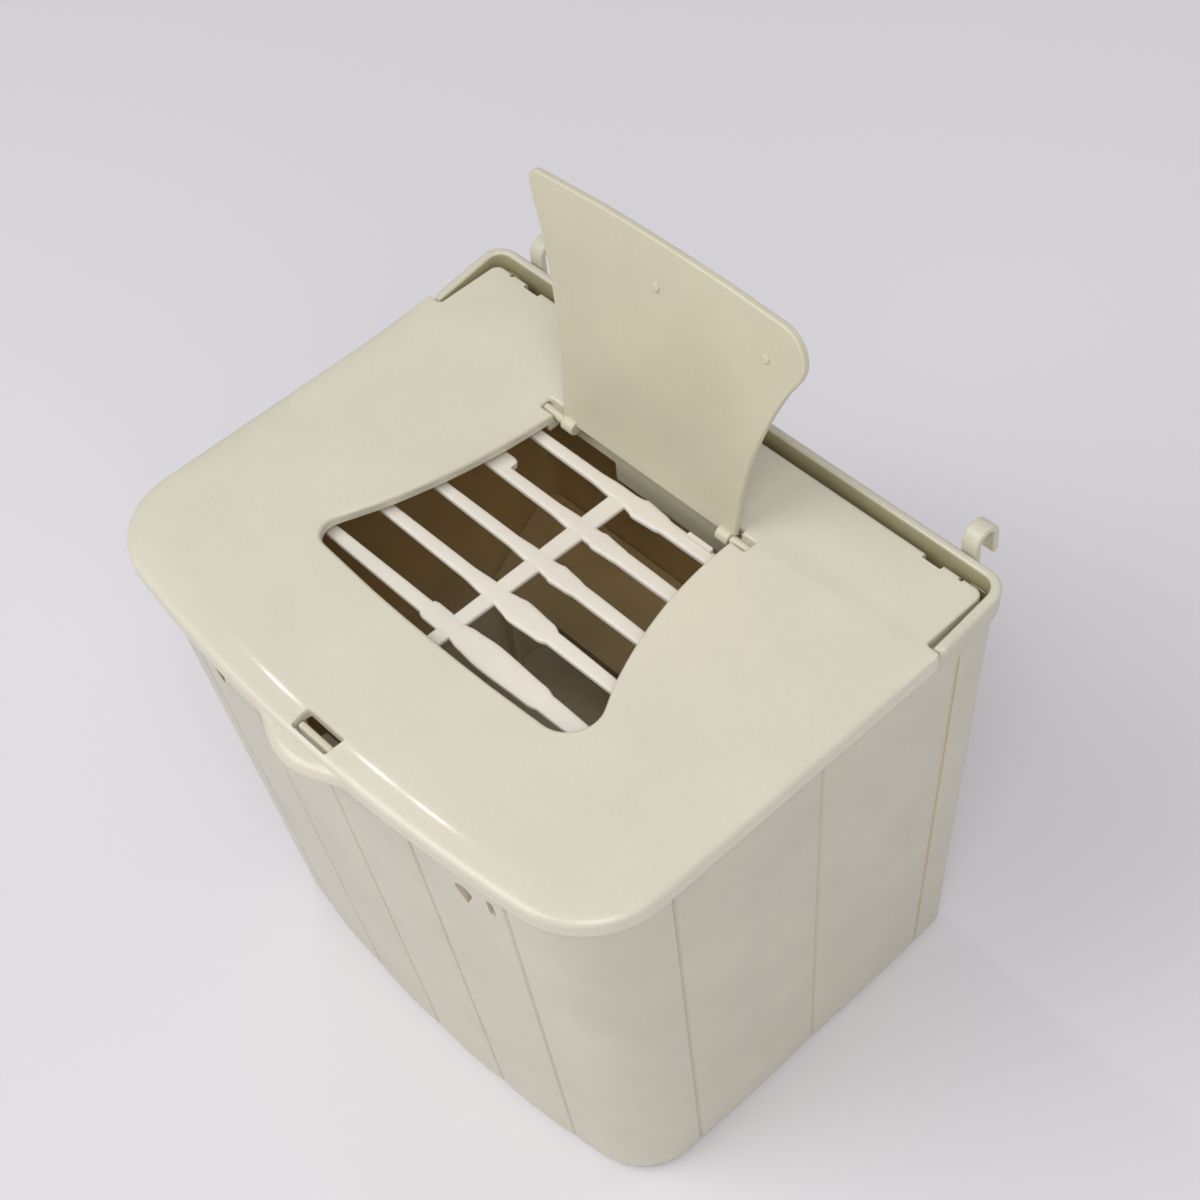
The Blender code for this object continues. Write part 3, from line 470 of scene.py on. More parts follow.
YZ_PLATE = Matrix(((0, 0, 1, 0), (1, 0, 0, 0), (0, 1, 0, 0), (0, 0, 0, 1)))
XZ_PLATE = Matrix(((1, 0, 0, 0), (0, 0, -1, 0), (0, 1, 0, 0), (0, 0, 0, 1)))


def side_slab(name, outline_yz, low_x, high_x, edge=0.0, steps=4):
    """Slab drawn in the Y-Z plane, with rounded edges."""
    return turned(slab(name, outline_yz, low_x, high_x, edge, edge, steps), YZ_PLATE)


def block(name, low, high, edge=0.0):
    return slab(name, rectangle(low, high, edge, 4), low[2], high[2], edge * 0.6, edge * 0.6, 3)


def rod(name, start, end, radius, edge=0.0, segments=40):
    """Round bar between two points, with rounded ends."""
    start, end = Vector(start), Vector(end)
    length = (end - start).length
    circle = [Vector((radius * math.cos(a), radius * math.sin(a)))
              for a in [math.tau * k / segments for k in range(segments)]]
    bar = slab(name, circle, 0.0, length, edge, edge, 4)
    turn = Vector((0, 0, 1)).rotation_difference((end - start).normalized()).to_matrix().to_4x4()
    return turned(bar, Matrix.Translation(start) @ turn)


def combine(target, other, how):
    mod = target.modifiers.new(other.name, "BOOLEAN")
    mod.operation = how
    mod.solver = "EXACT"
    mod.object = other
    other["helper"] = True


def cut(target, other):
    combine(target, other, "DIFFERENCE")


def join(target, other):
    combine(target, other, "UNION")


def finished(obj, angle=32.0):
    """Apply the modifiers, drop the helper shapes and shade the surface."""
    bpy.context.view_layer.update()
    mesh = bpy.data.meshes.new_from_object(obj.evaluated_get(bpy.context.evaluated_depsgraph_get()))
    obj.modifiers.clear()
    obj.data = mesh
    for helper in [o for o in bpy.data.objects if o.get("helper")]:
        bpy.data.objects.remove(helper, do_unlink=True)
    bm = bmesh.new()
    bm.from_mesh(mesh)
    bmesh.ops.remove_doubles(bm, verts=bm.verts, dist=0.000004)
    bmesh.ops.dissolve_degenerate(bm, edges=bm.edges, dist=0.000004)
    bm.to_mesh(mesh)
    bm.free()
    mesh.shade_smooth()
    mesh.set_sharp_from_angle(angle=math.radians(angle))
    weights = obj.modifiers.new("weights", "WEIGHTED_NORMAL")
    weights.keep_sharp = True
    return obj


def dress(obj, *looks):
    obj.data.materials.clear()
    for look in looks:
        obj.data.materials.append(look)


def stand_for(obj, body, node_name):
    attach(obj, body)
    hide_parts(node_name)


# ---------------------------------------------------------------- hopper body
def wall_course(half_w, front_y, bow, rear, corner_r):
    """Front middle to rear middle at +X, then back at -X, in steps fine enough for the grooves."""
    around_groove = [f * GROOVE_HALF for f in (-2.0, -1.0, -0.5, 0.0, 0.5, 1.0, 2.0)]
    marks = {round(groove + d, 6) for groove in FRONT_GROOVES for d in around_groove}
    marks.update(0.0035 * k for k in range(1, 18))
    front = [(x, front_y - bow * (1.0 - (x / half_w) ** 2), 0.0) for x in sorted(marks) if 0.0 <= x < 0.0605]
    marks = {groove + d for groove in SIDE_GROOVES for d in around_groove}
    marks.update(-0.0400 + 0.0045 * k for k in range(20))
    side = [(half_w, y, 0.0) for y in sorted(marks) if -0.0455 < y < rear - 0.0075]
    right = front + [(half_w, front_y, corner_r)] + side + [(half_w, rear, 0.006)]
    right += [(x, rear, 0.0) for x in (0.060, 0.030)]
    return rounded(both_sides(right, (0.0, rear, 0.0)), 12)


def groove_relief(point, half_w, rear):
    """How far the outer wall stands out at a place on its outline: grooves in, panels slightly out."""
    if point.y > rear - 0.002:
        return 0.0
    on_front = point.y < -0.0600 and abs(point.x) < 0.0640
    along, grooves = (abs(point.x), FRONT_GROOVES) if on_front else (point.y, SIDE_GROOVES)
    nearest = min(abs(along - g) for g in grooves)
    if nearest < GROOVE_HALF * 1.01:
        return -GROOVE_DEPTH * (1.0 - nearest / GROOVE_HALF) ** 0.7 if nearest < GROOVE_HALF else 0.0
    for low, high in zip(grooves, grooves[1:]):
        if low < along < high:
            place = (along - low) / (high - low)
            return PILLOW * math.sin(math.pi * place) ** 0.6
    return 0.0


def taper(point, inset, z):
    """Place on the tapered wall for a point of the top outline. Sides and front come in towards the base."""
    rise = z / BODY_TOP
    pull = 0.0
    if inset == 0.0 and z < BASE_ROUND:
        pull = BASE_ROUND * (1.0 - math.sqrt(max(0.0, 1.0 - (1.0 - z / BASE_ROUND) ** 2)))
    top_w = BODY_HALF_W - inset
    base_w = BASE_HALF_W - inset
    top_d = REAR_OUT - FRONT_Y + FRONT_BOW - 2.0 * inset
    base_d = BASE_DEPTH - 2.0 * inset
    width = base_w + (top_w - base_w) * rise - pull
    depth = base_d + (top_d - base_d) * rise - pull
    rear = REAR_OUT - inset
    return Vector((point.x * width / top_w, rear - (rear - point.y) * depth / top_d, z))


def rim_height(y):
    """Top of the raised rim at a place along the side: full height at the rear, lower in front."""
    fall = min(1.0, max(0.0, (RIM_LEVEL_FROM - y) / (RIM_LEVEL_FROM - RIM_FRONT)))
    return RIM_TOP - RIM_FALL * fall


def rim_ring(outline, distance, drop):
    return [Vector((q.x, q.y, rim_height(p.y) - drop)) for p, q in zip(outline, offset(outline, distance))]


def build_rim():
    """Block that widens upward to the rim, with a rounded top edge that follows the rim's slope."""
    side_steps = [(RIM_HALF_W, RIM_FRONT + 0.0035 * k, 0.0) for k in range(1, 4)]
    right = [(RIM_HALF_W, RIM_FRONT, 0.0020)] + side_steps + [(RIM_HALF_W, REAR_OUT, RIM_R)]
    rim = rounded(both_sides(right), 12)
    rings = []
    for z in [RIM_BOTTOM] + [RIM_FLARE_TOP - 0.0040 + 0.0008 * k for k in range(5)]:
        down = max(0.0, RIM_FLARE_TOP - z) / (RIM_FLARE_TOP - RIM_BOTTOM)
        narrow = 1.0 - down * (1.0 - RIM_FOOT_HALF_W / RIM_HALF_W)
        rings.append([Vector((p.x * narrow, p.y, z)) for p in rim])
    edge = 0.0013
    for turn in quarter_turn(6):
        rings.append(rim_ring(rim, -edge * (1.0 - math.cos(turn)), edge * (1.0 - math.sin(turn))))
    return loft("rim_block", rings)


def build_pocket():
    """Room inside the rim for the lid's rear, flared at the top."""
    inner_w = RIM_HALF_W - RIM_T
    side_steps = [(inner_w, RIM_FRONT + 0.0035 * k, 0.0) for k in range(4)]
    right = [(inner_w, RIM_FRONT - 0.004, 0.0)] + side_steps + [(inner_w, REAR_OUT - WALL, RIM_R - RIM_T)]
    pocket = rounded(both_sides(right), 10)
    edge = 0.0010
    flare = 1.05 * edge
    rings = [flat_ring(pocket, LEDGE_Z), rim_ring(pocket, 0.0, edge)]
    for turn in quarter_turn(6)[1:]:
        rings.append(rim_ring(pocket, flare * (1.0 - math.cos(turn)), edge * (1.0 - math.sin(turn))))
    rings.append(flat_ring(offset(pocket, flare), ABOVE_ALL))
    return loft("rear_pocket", rings)


def cut_front_holes(body, side):
    """Keyhole and upright slot of one side of the front wall."""
    place, height, radius, point = KEYHOLE
    x = place * side
    key = arc(x, height, radius, -20, 200, 22) + [Vector((x, point))]
    through = (0.055, 0.078)
    cut(body, turned(slab("keyhole_%d" % side, key, *through), XZ_PLATE))
    place, half_w, low, high = SIDE_SLOT
    x = place * side
    slot = rectangle((x - half_w, low), (x + half_w, high), 0.00085, 6)
    cut(body, turned(slab("side_slot_%d" % side, slot, *through), XZ_PLATE))


def build_body(outside, inside):
    outer = wall_course(BODY_HALF_W, FRONT_Y, FRONT_BOW, REAR_OUT, CORNER_R)
    relief = [groove_relief(p, BODY_HALF_W, REAR_OUT) for p in outer]
    outer = offset(outer, relief)
    heights = [0.0, 0.0003, 0.0009, 0.0018, 0.0029, BASE_ROUND]
    heights += [BASE_ROUND + (BODY_TOP - BASE_ROUND) * k / 10.0 for k in range(1, 11)]
    body = loft("hopper_shell", [[taper(p, 0.0, z) for p in outer] for z in heights])
    join(body, build_rim())

    inner = wall_course(BODY_HALF_W - WALL, FRONT_Y + WALL, FRONT_BOW, REAR_OUT - WALL, CORNER_R - WALL)
    hollow = [[taper(p, WALL, z) for p in inner] for z in (FLOOR, 0.05, 0.10, 0.1440, 0.1550)]
    cut(body, loft("hollow", hollow))
    cut(body, build_pocket())

    for side in (-1, 1):
        low, high = sorted(side * x for x in SWING_X)
        corners = [(low, SWING_Y[0], 0.0), (high, SWING_Y[0], 0.0),
                   (high, SWING_Y[1], SWING_R if side > 0 else 0.0),
                   (low, SWING_Y[1], SWING_R if side < 0 else 0.0)]
        cut(body, slab("swing_room_%d" % side, rounded(corners, 6), *SWING_Z))

    window = rectangle((-WINDOW_HALF_W, WINDOW_Z[0]), (WINDOW_HALF_W, WINDOW_Z[1]), 0.0)
    cut(body, turned(slab("window", window, -0.0650, -0.0500), XZ_PLATE))

    x, z = CATCH_X, CATCH_AXIS.z
    cut(body, block("catch_notch", (x - NOTCH_HALF_W, NOTCH_Y[0], NOTCH_Z[0]),
                    (x + NOTCH_HALF_W, NOTCH_Y[1], NOTCH_Z[1])))
    join(body, rod("catch_boss", (x, -0.0684, z), (x, -0.0663, z), 0.0034))
    cut(body, rod("catch_bore", (x, -0.0680, z), (x, -0.060, z), 0.0013))
    for side in (-1, 1):
        cut_front_holes(body, side)
        y, z = LID_AXIS.y, LID_AXIS.z
        near, far = RIM_BORE_X
        cut(body, rod("pin_bore_%d" % side, (side * near, y, z), (side * far, y, z), PIN_BORE_R))
        for k, z in enumerate(HOOK_SCREW_Z):
            x = side * HOOK_X
            tag = "%d_%d" % (side, k)
            join(body, rod("hook_boss_" + tag, (x, 0.0520, z), (x, 0.0580, z), 0.0030))
            cut(body, rod("hook_bore_" + tag, (x, 0.0532, z), (x, 0.0610, z), 0.0014))
        low, high = sorted(side * x for x in RAMP_LEDGE_X)
        join(body, block("ramp_ledge_%d" % side, (low, RAMP_LEDGE_Y[0], RAMP_LEDGE_Z[0]),
                         (high, RAMP_LEDGE_Y[1], RAMP_LEDGE_Z[1])))
    finished(body)

    dress(body, outside, inside)
    middle_y = (REAR_OUT + FRONT_Y - FRONT_BOW) / 2.0
    # The inner walls and the inner floor take the second material, whose colour is painted shade of the
    # interior.
    for face in body.data.polygons:
        c, n = face.center, face.normal
        outward = Vector((c.x / 0.08, (c.y - middle_y) / 0.066, 0.0))
        faces_in = n.x * outward.x + n.y * outward.y < -0.12 and c.z > FLOOR
        rim_edge = c.z >= 0.1438 and n.z >= 0.42
        floor_face = n.z > 0.9 and c.z < 0.005
        if floor_face or (faces_in and not rim_edge):
            face.material_index = 1
    stand_for(body, "body", "hopper_body")


# ---------------------------------------------------------------- lid
def lid_course():
    """Outline of the whole lid, front middle first, with close steps along the bowed front."""
    half_w = LID_HALF_W
    right = []
    for k in range(41):
        x = 0.0620 * k / 40.0
        right.append((x, LID_FRONT_Y - LID_BOW * (1.0 - (x / half_w) ** 2), 0.0))
    right.append((half_w, LID_FRONT_Y, LID_CORNER_R))
    right += [(half_w, y, 0.0) for y in (-0.030, -0.015, 0.0, 0.012, 0.022)]
    right += [(half_w, LID_STEP_Y, 0.0010), (LID_REAR_HALF_W, LID_STEP_Y, 0.0010)]
    right += [(LID_REAR_HALF_W, LID_REAR_Y, 0.0026)]
    right += [(x, LID_REAR_Y, 0.0) for x in (0.060, 0.030)]
    return rounded(both_sides(right, (0.0, LID_REAR_Y, 0.0)), 14)


def thumb_swell(p):
    """Outline of the thumb lip seen from above: 1 in the middle of the front, falling smoothly to 0."""
    t = min(1.0, abs(p.x) / LIP_HALF_W)
    return (1.0 - t * t) ** 1.4 if p.y < -0.060 else 0.0


def lid_shell(outline):
    """Skirt with the thumb lip, and above it a crown that grows flatter towards the rear."""
    rings = []
    heights = [SKIRT_BOTTOM + d for d in (0.0, 0.0007, 0.0013, 0.0019)]
    heights += [LID_TOP - d for d in (0.0027, 0.0024, 0.0021)]
    for z in heights:
        reach = LIP_REACH * math.sqrt(max(0.0, 1.0 - ((z - LIP_MID) / LIP_HIGH) ** 2))
        rings.append([Vector((p.x, p.y - reach * thumb_swell(p), z)) for p in outline])

    crown = [1.0 - 0.88 * min(1.0, max(0.0, (p.y - 0.0150) / 0.0190)) for p in outline]
    # inset from the edge and drop below the top, where the crown is full
    profile = ((0.0, 0.0020), (0.00012, 0.0016), (0.0004, 0.00122), (0.0009, 0.00088), (0.0016, 0.00062),
               (0.0028, 0.00038), (0.0044, 0.00018), (0.0062, 0.00005), (0.0080, 0.0))
    for inset, drop in profile:
        moved = offset(outline, [-inset * c for c in crown])
        rings.append([Vector((p.x, p.y, LID_TOP - drop * (0.35 + 0.65 * c))) for p, c in zip(moved, crown)])
    return loft("lid_shell", rings)


def skirt_core(outline):
    """Room under the lid inside the skirt. At the step it widens past the lid, so the rear has no skirt."""
    core = [q for p, q in zip(outline, offset(outline, -SKIRT_T)) if p.y < LID_STEP_Y - 0.004]
    first_left = next(i for i, p in enumerate(core) if p.x < 0.0)
    wide = LID_HALF_W + 0.002
    right = [Vector((LID_HALF_W - SKIRT_T, LID_STEP_Y - 0.0001)), Vector((wide, LID_STEP_Y + 0.00002)),
             Vector((wide, 0.0620))]
    rear = right + [Vector((-p.x, p.y)) for p in reversed(right)]
    core = core[:first_left] + rear + core[first_left:]
    return loft("skirt_core", [flat_ring(core, SKIRT_BOTTOM - 0.002), flat_ring(core, LID_TOP - LID_T)])


def fill_opening():
    opening = opening_course(OPEN_REAR, OPEN_FRONT, (0.0, 0.0), OPEN_CORNERS)
    edge = 0.0010
    rings = [flat_ring(opening, 0.1350), flat_ring(opening, LID_TOP - edge)]
    for turn in quarter_turn(6)[1:]:
        flared = offset(opening, edge * (1.0 - math.cos(turn)))
        rings.append(flat_ring(flared, LID_TOP - edge * (1.0 - math.sin(turn))))
    rings.append(flat_ring(offset(opening, edge), 0.160))
    return loft("fill_opening", rings)


def catch_slot():
    slot = rectangle((CATCH_X - SLOT_HALF_W, SLOT_Y[0]), (CATCH_X + SLOT_HALF_W, SLOT_Y[1]), 0.0006, 5)
    flare, edge = 0.0005, 0.0011
    rings = [flat_ring(slot, 0.1380), flat_ring(slot, LID_TOP - edge)]
    rings += [flat_ring(offset(slot, flare * out), LID_TOP - edge + edge * up)
              for out, up in ((0.12, 0.4), (0.4, 0.75), (1.0, 1.0), (1.0, 4.0))]
    return loft("catch_slot", rings)


def add_flap_sockets(lid):
    """Sockets beside the opening's rear, open at the top, that hold the flap's pins."""
    y, z = FLAP_AXIS.y, FLAP_AXIS.z
    for side in (-1, 1):
        half = opening_half_width(y, side)
        low, high = sorted((side * (half + 0.0003), side * (half + 0.0072)))
        join(lid, block("flap_socket_%d" % side, (low, y - 0.0031, z - 0.0031),
                        (high, y + 0.0031, z + 0.0005), 0.0003))
        cut(lid, rod("flap_socket_bore_%d" % side, (side * (half - 0.0010), y, z),
                     (side * (half + 0.0060), y, z), FLAP_BORE_R))
        low, high = sorted((side * (half - 0.0012), side * (half + 0.0045)))
        mouth = rectangle((low, y - 0.0018), (high, y + 0.0018), 0.0005, 4)
        wide = offset(mouth, 0.0006)
        rings = [flat_ring(mouth, z), flat_ring(mouth, LID_TOP - 0.0006),
                 flat_ring(offset(mouth, 0.0002), LID_TOP - 0.0002), flat_ring(wide, LID_TOP + 0.0001),
                 flat_ring(wide, 0.1500)]
        cut(lid, loft("socket_mouth_%d" % side, rings))


def build_lid(look, flange_look):
    outline = lid_course()
    lid = lid_shell(outline)
    cut(lid, skirt_core(outline))
    cut(lid, fill_opening())
    cut(lid, catch_slot())

    for side in (-1, 1):
        for k, (near, far, deep) in enumerate(REAR_NOTCHES):
            low, high = sorted((side * near, side * far))
            cut(lid, block("rear_notch_%d_%d" % (side, k), (low, LID_REAR_Y - deep, 0.140),
                           (high, 0.060, 0.152), 0.0004))

    y, z = LID_AXIS.y, LID_AXIS.z
    for side in (-1, 1):
        low, high = sorted(side * x for x in LID_BOSS_X)
        loop = arc(y, z, LID_BOSS_R, 180, 360, 20)
        loop += [Vector((y + LID_BOSS_R, LID_TOP - 0.0018)), Vector((y - LID_BOSS_R, LID_TOP - 0.0018))]
        join(lid, side_slab("lid_boss_%d" % side, loop, low, high, 0.0003))
        near, far = LID_BORE_X
        cut(lid, rod("lid_bore_%d" % side, (side * near, y, z), (side * far, y, z), PIN_BORE_R))

    flange_top = LID_TOP - 0.0012
    near, far = FLANGE_Y
    join(lid, block("flange_right", (-0.0147, near, 0.1325), (0.0290, far, flange_top), 0.0004))
    join(lid, block("flange_left", (-0.0290, near, 0.1383), (-0.0140, far, flange_top), 0.0004))
    add_flap_sockets(lid)

    for k, (px, py) in enumerate(GRID_SCREWS):
        for side in (-1, 1):
            x = side * px
            tag = "%d_%d" % (k, side)
            join(lid, rod("grid_post_" + tag, (x, py, GRID_TOP + CLEAR), (x, py, LID_TOP - 0.0012), 0.0030))
            cut(lid, rod("grid_post_bore_" + tag, (x, py, 0.1420), (x, py, LID_TOP - 0.0013), 0.0012))
    finished(lid)

    dress(lid, look, flange_look)
    for face in lid.data.polygons:
        c = face.center
        if abs(c.x) < 0.0295 and near - 0.0002 < c.y < far + 0.0002 and c.z < flange_top:
            face.material_index = 1
    stand_for(lid, "lid", "main_lid")


# ---------------------------------------------------------------- opening and flap
def opening_half_width(y, side):
    """Half width of the fill opening at a place along it. Its sides curve apart towards the front."""
    rear, slope, curve = OPEN_RIGHT if side > 0 else OPEN_LEFT
    forward = OPEN_REAR - y
    return rear + slope * forward + curve * forward * forward


def opening_course(rear, front, gaps, corners):
    """Outline of the opening, or of the flap when gaps make it narrower, from the front middle."""
    bow = front - OPEN_BOW
    points = [(0.0, bow, 0.0), (0.010, bow + OPEN_BOW * 0.06, 0.0), (0.020, bow + OPEN_BOW * 0.25, 0.0)]
    for side, gap, corner in ((1, gaps[0], corners[0]), (-1, gaps[1], corners[1])):
        half = [(side * (opening_half_width(front, side) - gap), front + 0.0006, corner)]
        for k in range(15, 0, -1):
            y = rear + (front - rear) * k / 20.0
            half.append((side * (opening_half_width(y, side) - gap), y, 0.0))
        half.append((side * (opening_half_width(rear, side) - gap), rear, 0.0008))
        points += half if side > 0 else half[::-1]
    points += [(-0.020, bow + OPEN_BOW * 0.25, 0.0), (-0.010, bow + OPEN_BOW * 0.06, 0.0)]
    return rounded(points, 14)


def build_flap(look):
    """Drawn closed, then turned about its hinge to where it stands open."""
    y, z = FLAP_AXIS.y, FLAP_AXIS.z
    front = y - FLAP_LEN
    outline = opening_course(y - 0.0004, front, FLAP_GAPS, FLAP_CORNERS)
    flap = slab("flap_panel", outline, LID_TOP - FLAP_T, LID_TOP, 0.0006, 0.0009, 6)
    near, far = FLAP_BARREL_X
    blind, mouth = FLAP_BORE_X
    under = LID_TOP - FLAP_T
    nub_y = front + 0.0105
    for side, x in zip((-1, 1), FLAP_NUBS_X):
        barrel = rod("flap_barrel_%d" % side, (side * near, y, z), (side * far, y, z), FLAP_BARREL_R, 0.0004)
        join(flap, barrel)
        cut(flap, rod("flap_bore_%d" % side, (side * blind, y, z), (side * mouth, y, z), FLAP_BORE_R))
        join(flap, rod("flap_nub_%d" % side, (x, nub_y, under - 0.0006), (x, nub_y, under + 0.0010),
                       0.0012, 0.0004, 28))
    finished(flap)
    turn = Matrix.Translation(FLAP_AXIS) @ Matrix.Rotation(-math.radians(FLAP_OPEN), 4, "X")
    turned(flap, turn @ Matrix.Translation(-FLAP_AXIS))
    dress(flap, look)
    stand_for(flap, "flap", "fill_flap")


# ---------------------------------------------------------------- grid
def blended(stops, x):
    """Smooth value between stops of (place, value)."""
    for (x0, v0), (x1, v1) in zip(stops, stops[1:]):
        if x <= x1:
            t = max(0.0, (x - x0) / (x1 - x0))
            return v0 + (v1 - v0) * t * t * (3.0 - 2.0 * t)
    return stops[-1][1]


def swollen_bar(name, stops, y, low, high, steps=90, lengthwise=True):
    """Bar along X whose width follows the stops, with a rounded section."""
    start, end = stops[0][0], stops[-1][0]
    thick = high - low
    rings = []
    for k in range(steps + 1):
        x = start + (end - start) * k / steps
        half_w = blended(stops, x) / 2.0
        ring = []
        for j in range(24):
            a = math.tau * j / 24.0
            c, s = math.cos(a), math.sin(a)
            across = half_w * math.copysign(abs(c) ** 0.45, c)
            up = (low + high) / 2.0 + thick / 2.0 * math.copysign(abs(s) ** 0.55, s)
            ring.append(Vector((x, y + across, up)) if lengthwise else Vector((y - across, x, up)))
        rings.append(ring)
    return loft(name, rings)


def build_grid(look):
    low = GRID_TOP - GRID_T
    ring_out = rounded([(-0.0560, -0.0450, 0.006), (0.0560, -0.0450, 0.006), (0.0420, 0.0405, 0.004),
                        (-0.0420, 0.0405, 0.004)], 8)
    ring_in = rounded([(-0.0508, -0.0412, 0.004), (0.0508, -0.0412, 0.004), (0.0375, 0.0360, 0.003),
                       (-0.0375, 0.0360, 0.003)], 8)
    grid = slab("grid_frame", ring_out, low, GRID_TOP, 0.0004, 0.0004, 3)
    edge = 0.0004
    wide = offset(ring_in, edge)
    rings = [flat_ring(wide, low - 0.001), flat_ring(wide, low),
             flat_ring(ring_in, low + edge), flat_ring(ring_in, GRID_TOP - edge),
             flat_ring(wide, GRID_TOP), flat_ring(wide, GRID_TOP + 0.001)]
    cut(grid, loft("grid_window", rings))
    shapes = (
        # width at the left, widest swelling, where the swelling ends, tail width
        (0.0030, 0.0062, 0.0120, 0.0034),
        (0.0030, 0.0054, 0.0115, 0.0034),
        (0.0030, 0.0058, 0.0110, 0.0034),
        (0.0032, 0.0069, 0.0170, 0.0033),
        (0.0034, 0.0076, 0.0290, 0.0042),
    )
    for k, (y, shape) in enumerate(zip(BAR_Y, shapes)):
        reach = 0.0395 + (0.0360 - y) * 0.172
        narrow, swell, swell_end, tail = shape
        stops = [(-reach, narrow), (CROSS_X - 0.010, narrow * 1.15), (CROSS_X - 0.002, narrow * 1.5),
                 (CROSS_X + 0.002, narrow * 1.5), (CROSS_X + 0.005, swell * 0.85),
                 (CROSS_X + 0.4 * (swell_end - CROSS_X), swell), (swell_end - 0.0016, swell * 0.84),
                 (swell_end + 0.0004, tail * 1.2), (reach, tail)]
        # the bars' tops differ by hundredths of a millimetre, so that no two faces coincide
        top = GRID_TOP - 0.00007 - 0.00002 * k
        join(grid, swollen_bar("grid_bar_%d" % (k + 1), stops, y, low + 0.00007, top))
    stops = [(-0.0437, 0.0040), (BAR_Y[0] + 0.0005, 0.0052)]
    join(grid, swollen_bar("grid_cross", stops, CROSS_X, low + 0.00017, GRID_TOP - 0.00019, 30, False))
    y = BAR_Y[1] + 0.0021
    stops = [(-0.0415, 0.0047), (-0.0300, 0.0047), (-0.0286, 0.0040), (-0.0280, 0.0022)]
    join(grid, swollen_bar("grid_stub", stops, y, low + 0.00013, GRID_TOP - 0.00003, 40))
    stops = [(-0.0100, 0.0050), (-0.0088, 0.0056), (CROSS_X + 0.002, 0.0055)]
    join(grid, swollen_bar("grid_step", stops, BAR_Y[4], low + 0.00003, GRID_TOP - 0.00011, 30))
    join(grid, block("grid_upstand", (0.0185, 0.0240, low + 0.0005),
                     (0.0262, 0.0252, GRID_TOP + 0.0011), 0.0003))
    for k, (px, py) in enumerate(GRID_SCREWS):
        for side in (-1, 1):
            x = side * px
            tag = "%d_%d" % (k, side)
            near, far = sorted((side * (px - 0.0080), x))
            join(grid, block("grid_lug_" + tag, (near, py - 0.0030, low + 0.0002),
                             (far, py + 0.0030, GRID_TOP - 0.00025), 0.0004))
            join(grid, rod("grid_pad_" + tag, (x, py, low + 0.0001), (x, py, GRID_TOP - 0.00013),
                           0.0036, 0.0003))
            cut(grid, rod("grid_hole_" + tag, (x, py, low - 0.001), (x, py, GRID_TOP + 0.001), 0.0015))
    finished(grid)
    dress(grid, look)
    stand_for(grid, "lid", "lid_grid")


# ---------------------------------------------------------------- catch and hooks
def build_catch(look):
    z = CATCH_AXIS.z
    leg_out = -0.0659
    tongue_front, tongue_rear, tongue_top = -0.0727, -0.0709, 0.1462
    loop = rounded([
        # foot of the leg, behind the screw
        (leg_out, z - 0.0050, 0.0005), (leg_out + 0.0020, z - 0.0050, 0.0005),
        (leg_out + 0.0020, z + 0.0040, 0.0004),
        # rear of the leg, then forward to the tongue
        (-0.0663, 0.1335, 0.0005), (-0.0663, 0.1372, 0.0006), (tongue_rear, 0.1384, 0.0006),
        (tongue_rear, tongue_top, 0.0007), (tongue_front, tongue_top, 0.0007), (tongue_front, 0.1345, 0.0008),
        # front of the leg, down to its foot
        (-0.0683, 0.1335, 0.0005), (-0.0674, z + 0.0085, 0.0005), (leg_out, z + 0.0042, 0.0005)], 5)
    catch = side_slab("catch_tongue", loop, CATCH_X - 0.0055, CATCH_X + 0.0055, 0.0005)
    cut(catch, rod("catch_hole", (CATCH_X, -0.075, z), (CATCH_X, -0.060, z), 0.0016))
    finished(catch)
    dress(catch, look)
    stand_for(catch, "catch", "front_catch")


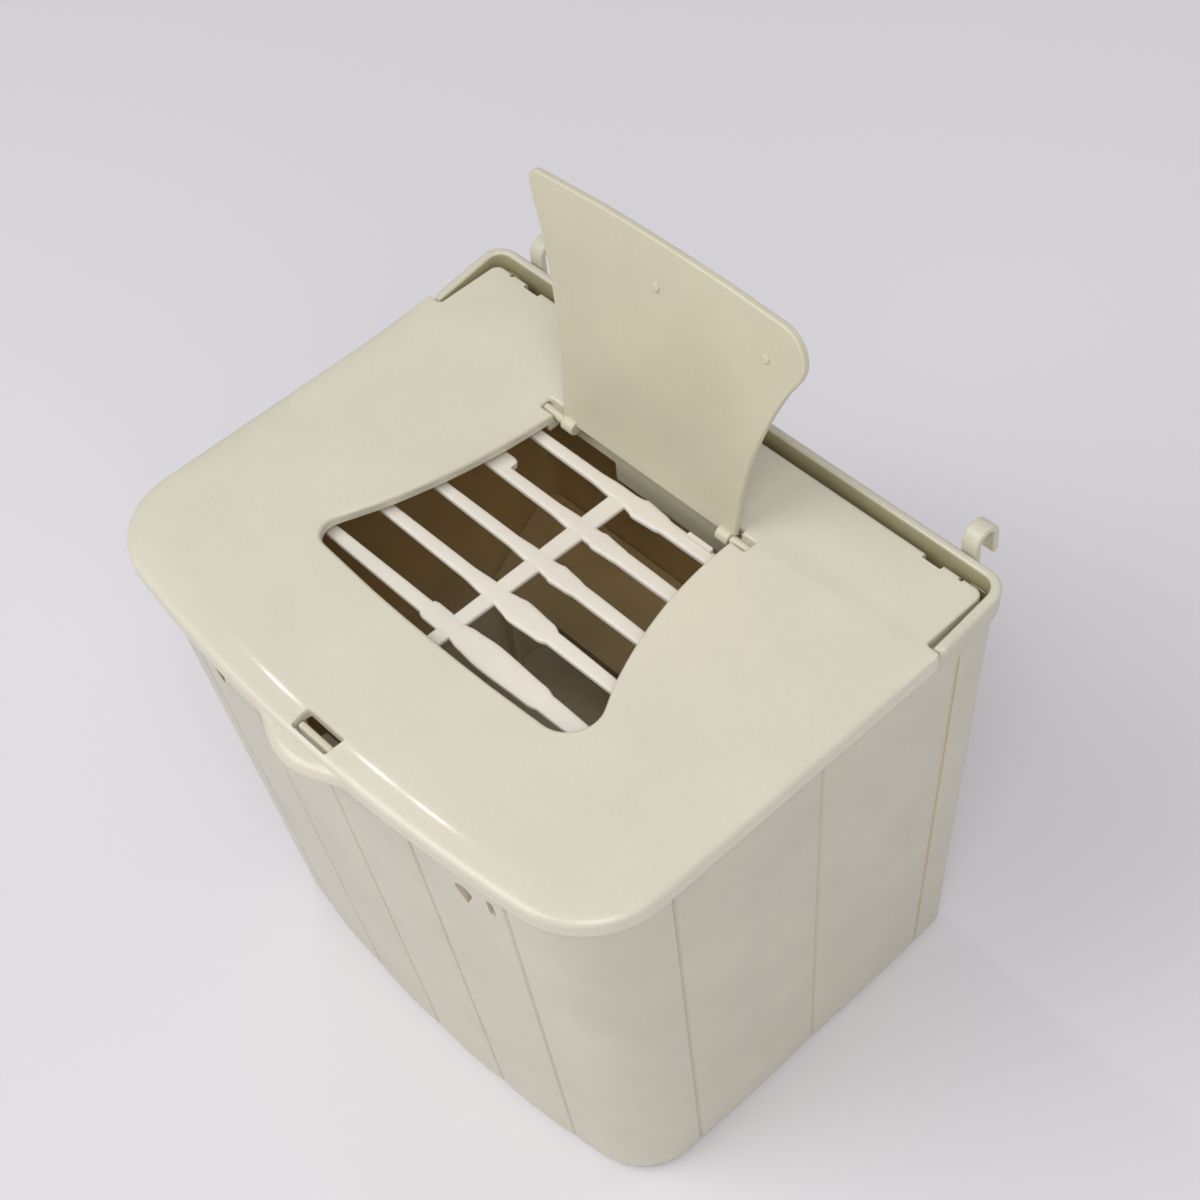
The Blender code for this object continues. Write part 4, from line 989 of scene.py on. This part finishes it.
def build_hook(name, side, look):
    y0 = REAR_OUT + CLEAR
    y1 = y0 + HOOK_T
    cy, cz = y1 + HOOK_WIRE_R, HOOK_TOP_Z
    r_out = HOOK_WIRE_R + HOOK_T
    inner = arc(cy, cz, HOOK_WIRE_R, 180, 0, 20)
    outer = arc(cy, cz, r_out, 0, 180, 20)
    tip_in, tip_out = cy + HOOK_WIRE_R, cy + r_out
    tip = [Vector(p) for p in ((tip_in, 0.1462), (tip_in + 0.0003, 0.1457), (tip_in + 0.0010, 0.1455),
                               (tip_out - 0.0003, 0.1458), (tip_out, 0.1464))]
    loop = [Vector((y0, 0.1400)), Vector((y1, 0.1400))] + inner + tip + outer
    x = side * HOOK_X
    hook = side_slab(name + "_strap", loop, x - HOOK_W / 2.0, x + HOOK_W / 2.0, 0.0006, 5)
    base = rounded([(x - 0.0052, 0.1140, 0.002), (x + 0.0052, 0.1140, 0.002), (x + 0.0052, 0.1390, 0.0015),
                    (x + 0.0021, 0.1440, 0.0), (x - 0.0021, 0.1440, 0.0), (x - 0.0052, 0.1390, 0.0015)], 8)
    foot = turned(slab(name + "_foot", base, -y1, -y0, 0.0005, 0.0002, 4), XZ_PLATE)
    join(hook, foot)
    for k, z in enumerate(HOOK_SCREW_Z):
        cut(hook, rod("%s_hole_%d" % (name, k), (x, 0.055, z), (x, 0.070, z), 0.0017))
    finished(hook)
    dress(hook, look)
    stand_for(hook, "body", name)


def carry_over(name, look):
    """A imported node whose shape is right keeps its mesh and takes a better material."""
    dress(NODES[name], look)


# ---------------------------------------------------------------- put together
build_stage()
cream = plastic("cream_wall", 0.34, (0.60, 0.565, 0.45), 0.06)
ivory = plastic("ivory_lid", 0.34, (0.665, 0.62, 0.50), 0.04, coat=0.30)
flap_look = plastic("flap_cream", 0.32, (0.60, 0.56, 0.42), 0.06)
grid_look = plastic("grid_white", 0.38, (0.74, 0.69, 0.60), 0.05)
tongue_look = plastic("tongue_cream", 0.36, (0.62, 0.57, 0.43), 0.05)
# Painted shade and colour bleed: the interior is the same cream plastic as the walls, coloured tan-brown,
# most saturated at middle heights and darker just below the rim, to stand in for the shade and warm
# interreflection inside the tub.
painted_shade_tones = [
    # height in metres, colour
    (0.030, (0.60, 0.53, 0.37)), (0.052, (0.63, 0.47, 0.24)), (0.070, (0.66, 0.46, 0.20)),
    (0.110, (0.63, 0.44, 0.19)), (0.136, (0.52, 0.41, 0.20)), (0.146, (0.44, 0.39, 0.22)),
    (0.151, (0.46, 0.43, 0.27))]
inside = plastic("stained_inside", 0.55, deep=painted_shade_tones)
steel = plated_steel()

build_body(cream, inside)
build_lid(ivory, flap_look)
build_flap(flap_look)
build_grid(grid_look)
build_catch(tongue_look)
for side, tag in ((-1, "left"), (1, "right")):
    build_hook("hook_" + tag, side, cream)
for name in NODES:
    if "screw" in name or name.startswith("lid_pin"):
        carry_over(name, steel)
    elif name.startswith("flap_pin"):
        carry_over(name, flap_look)
    # The sloped floor and its lip take the interior's painted-shade colour.
    elif name in ("feed_ramp", "feed_lip"):
        carry_over(name, inside)
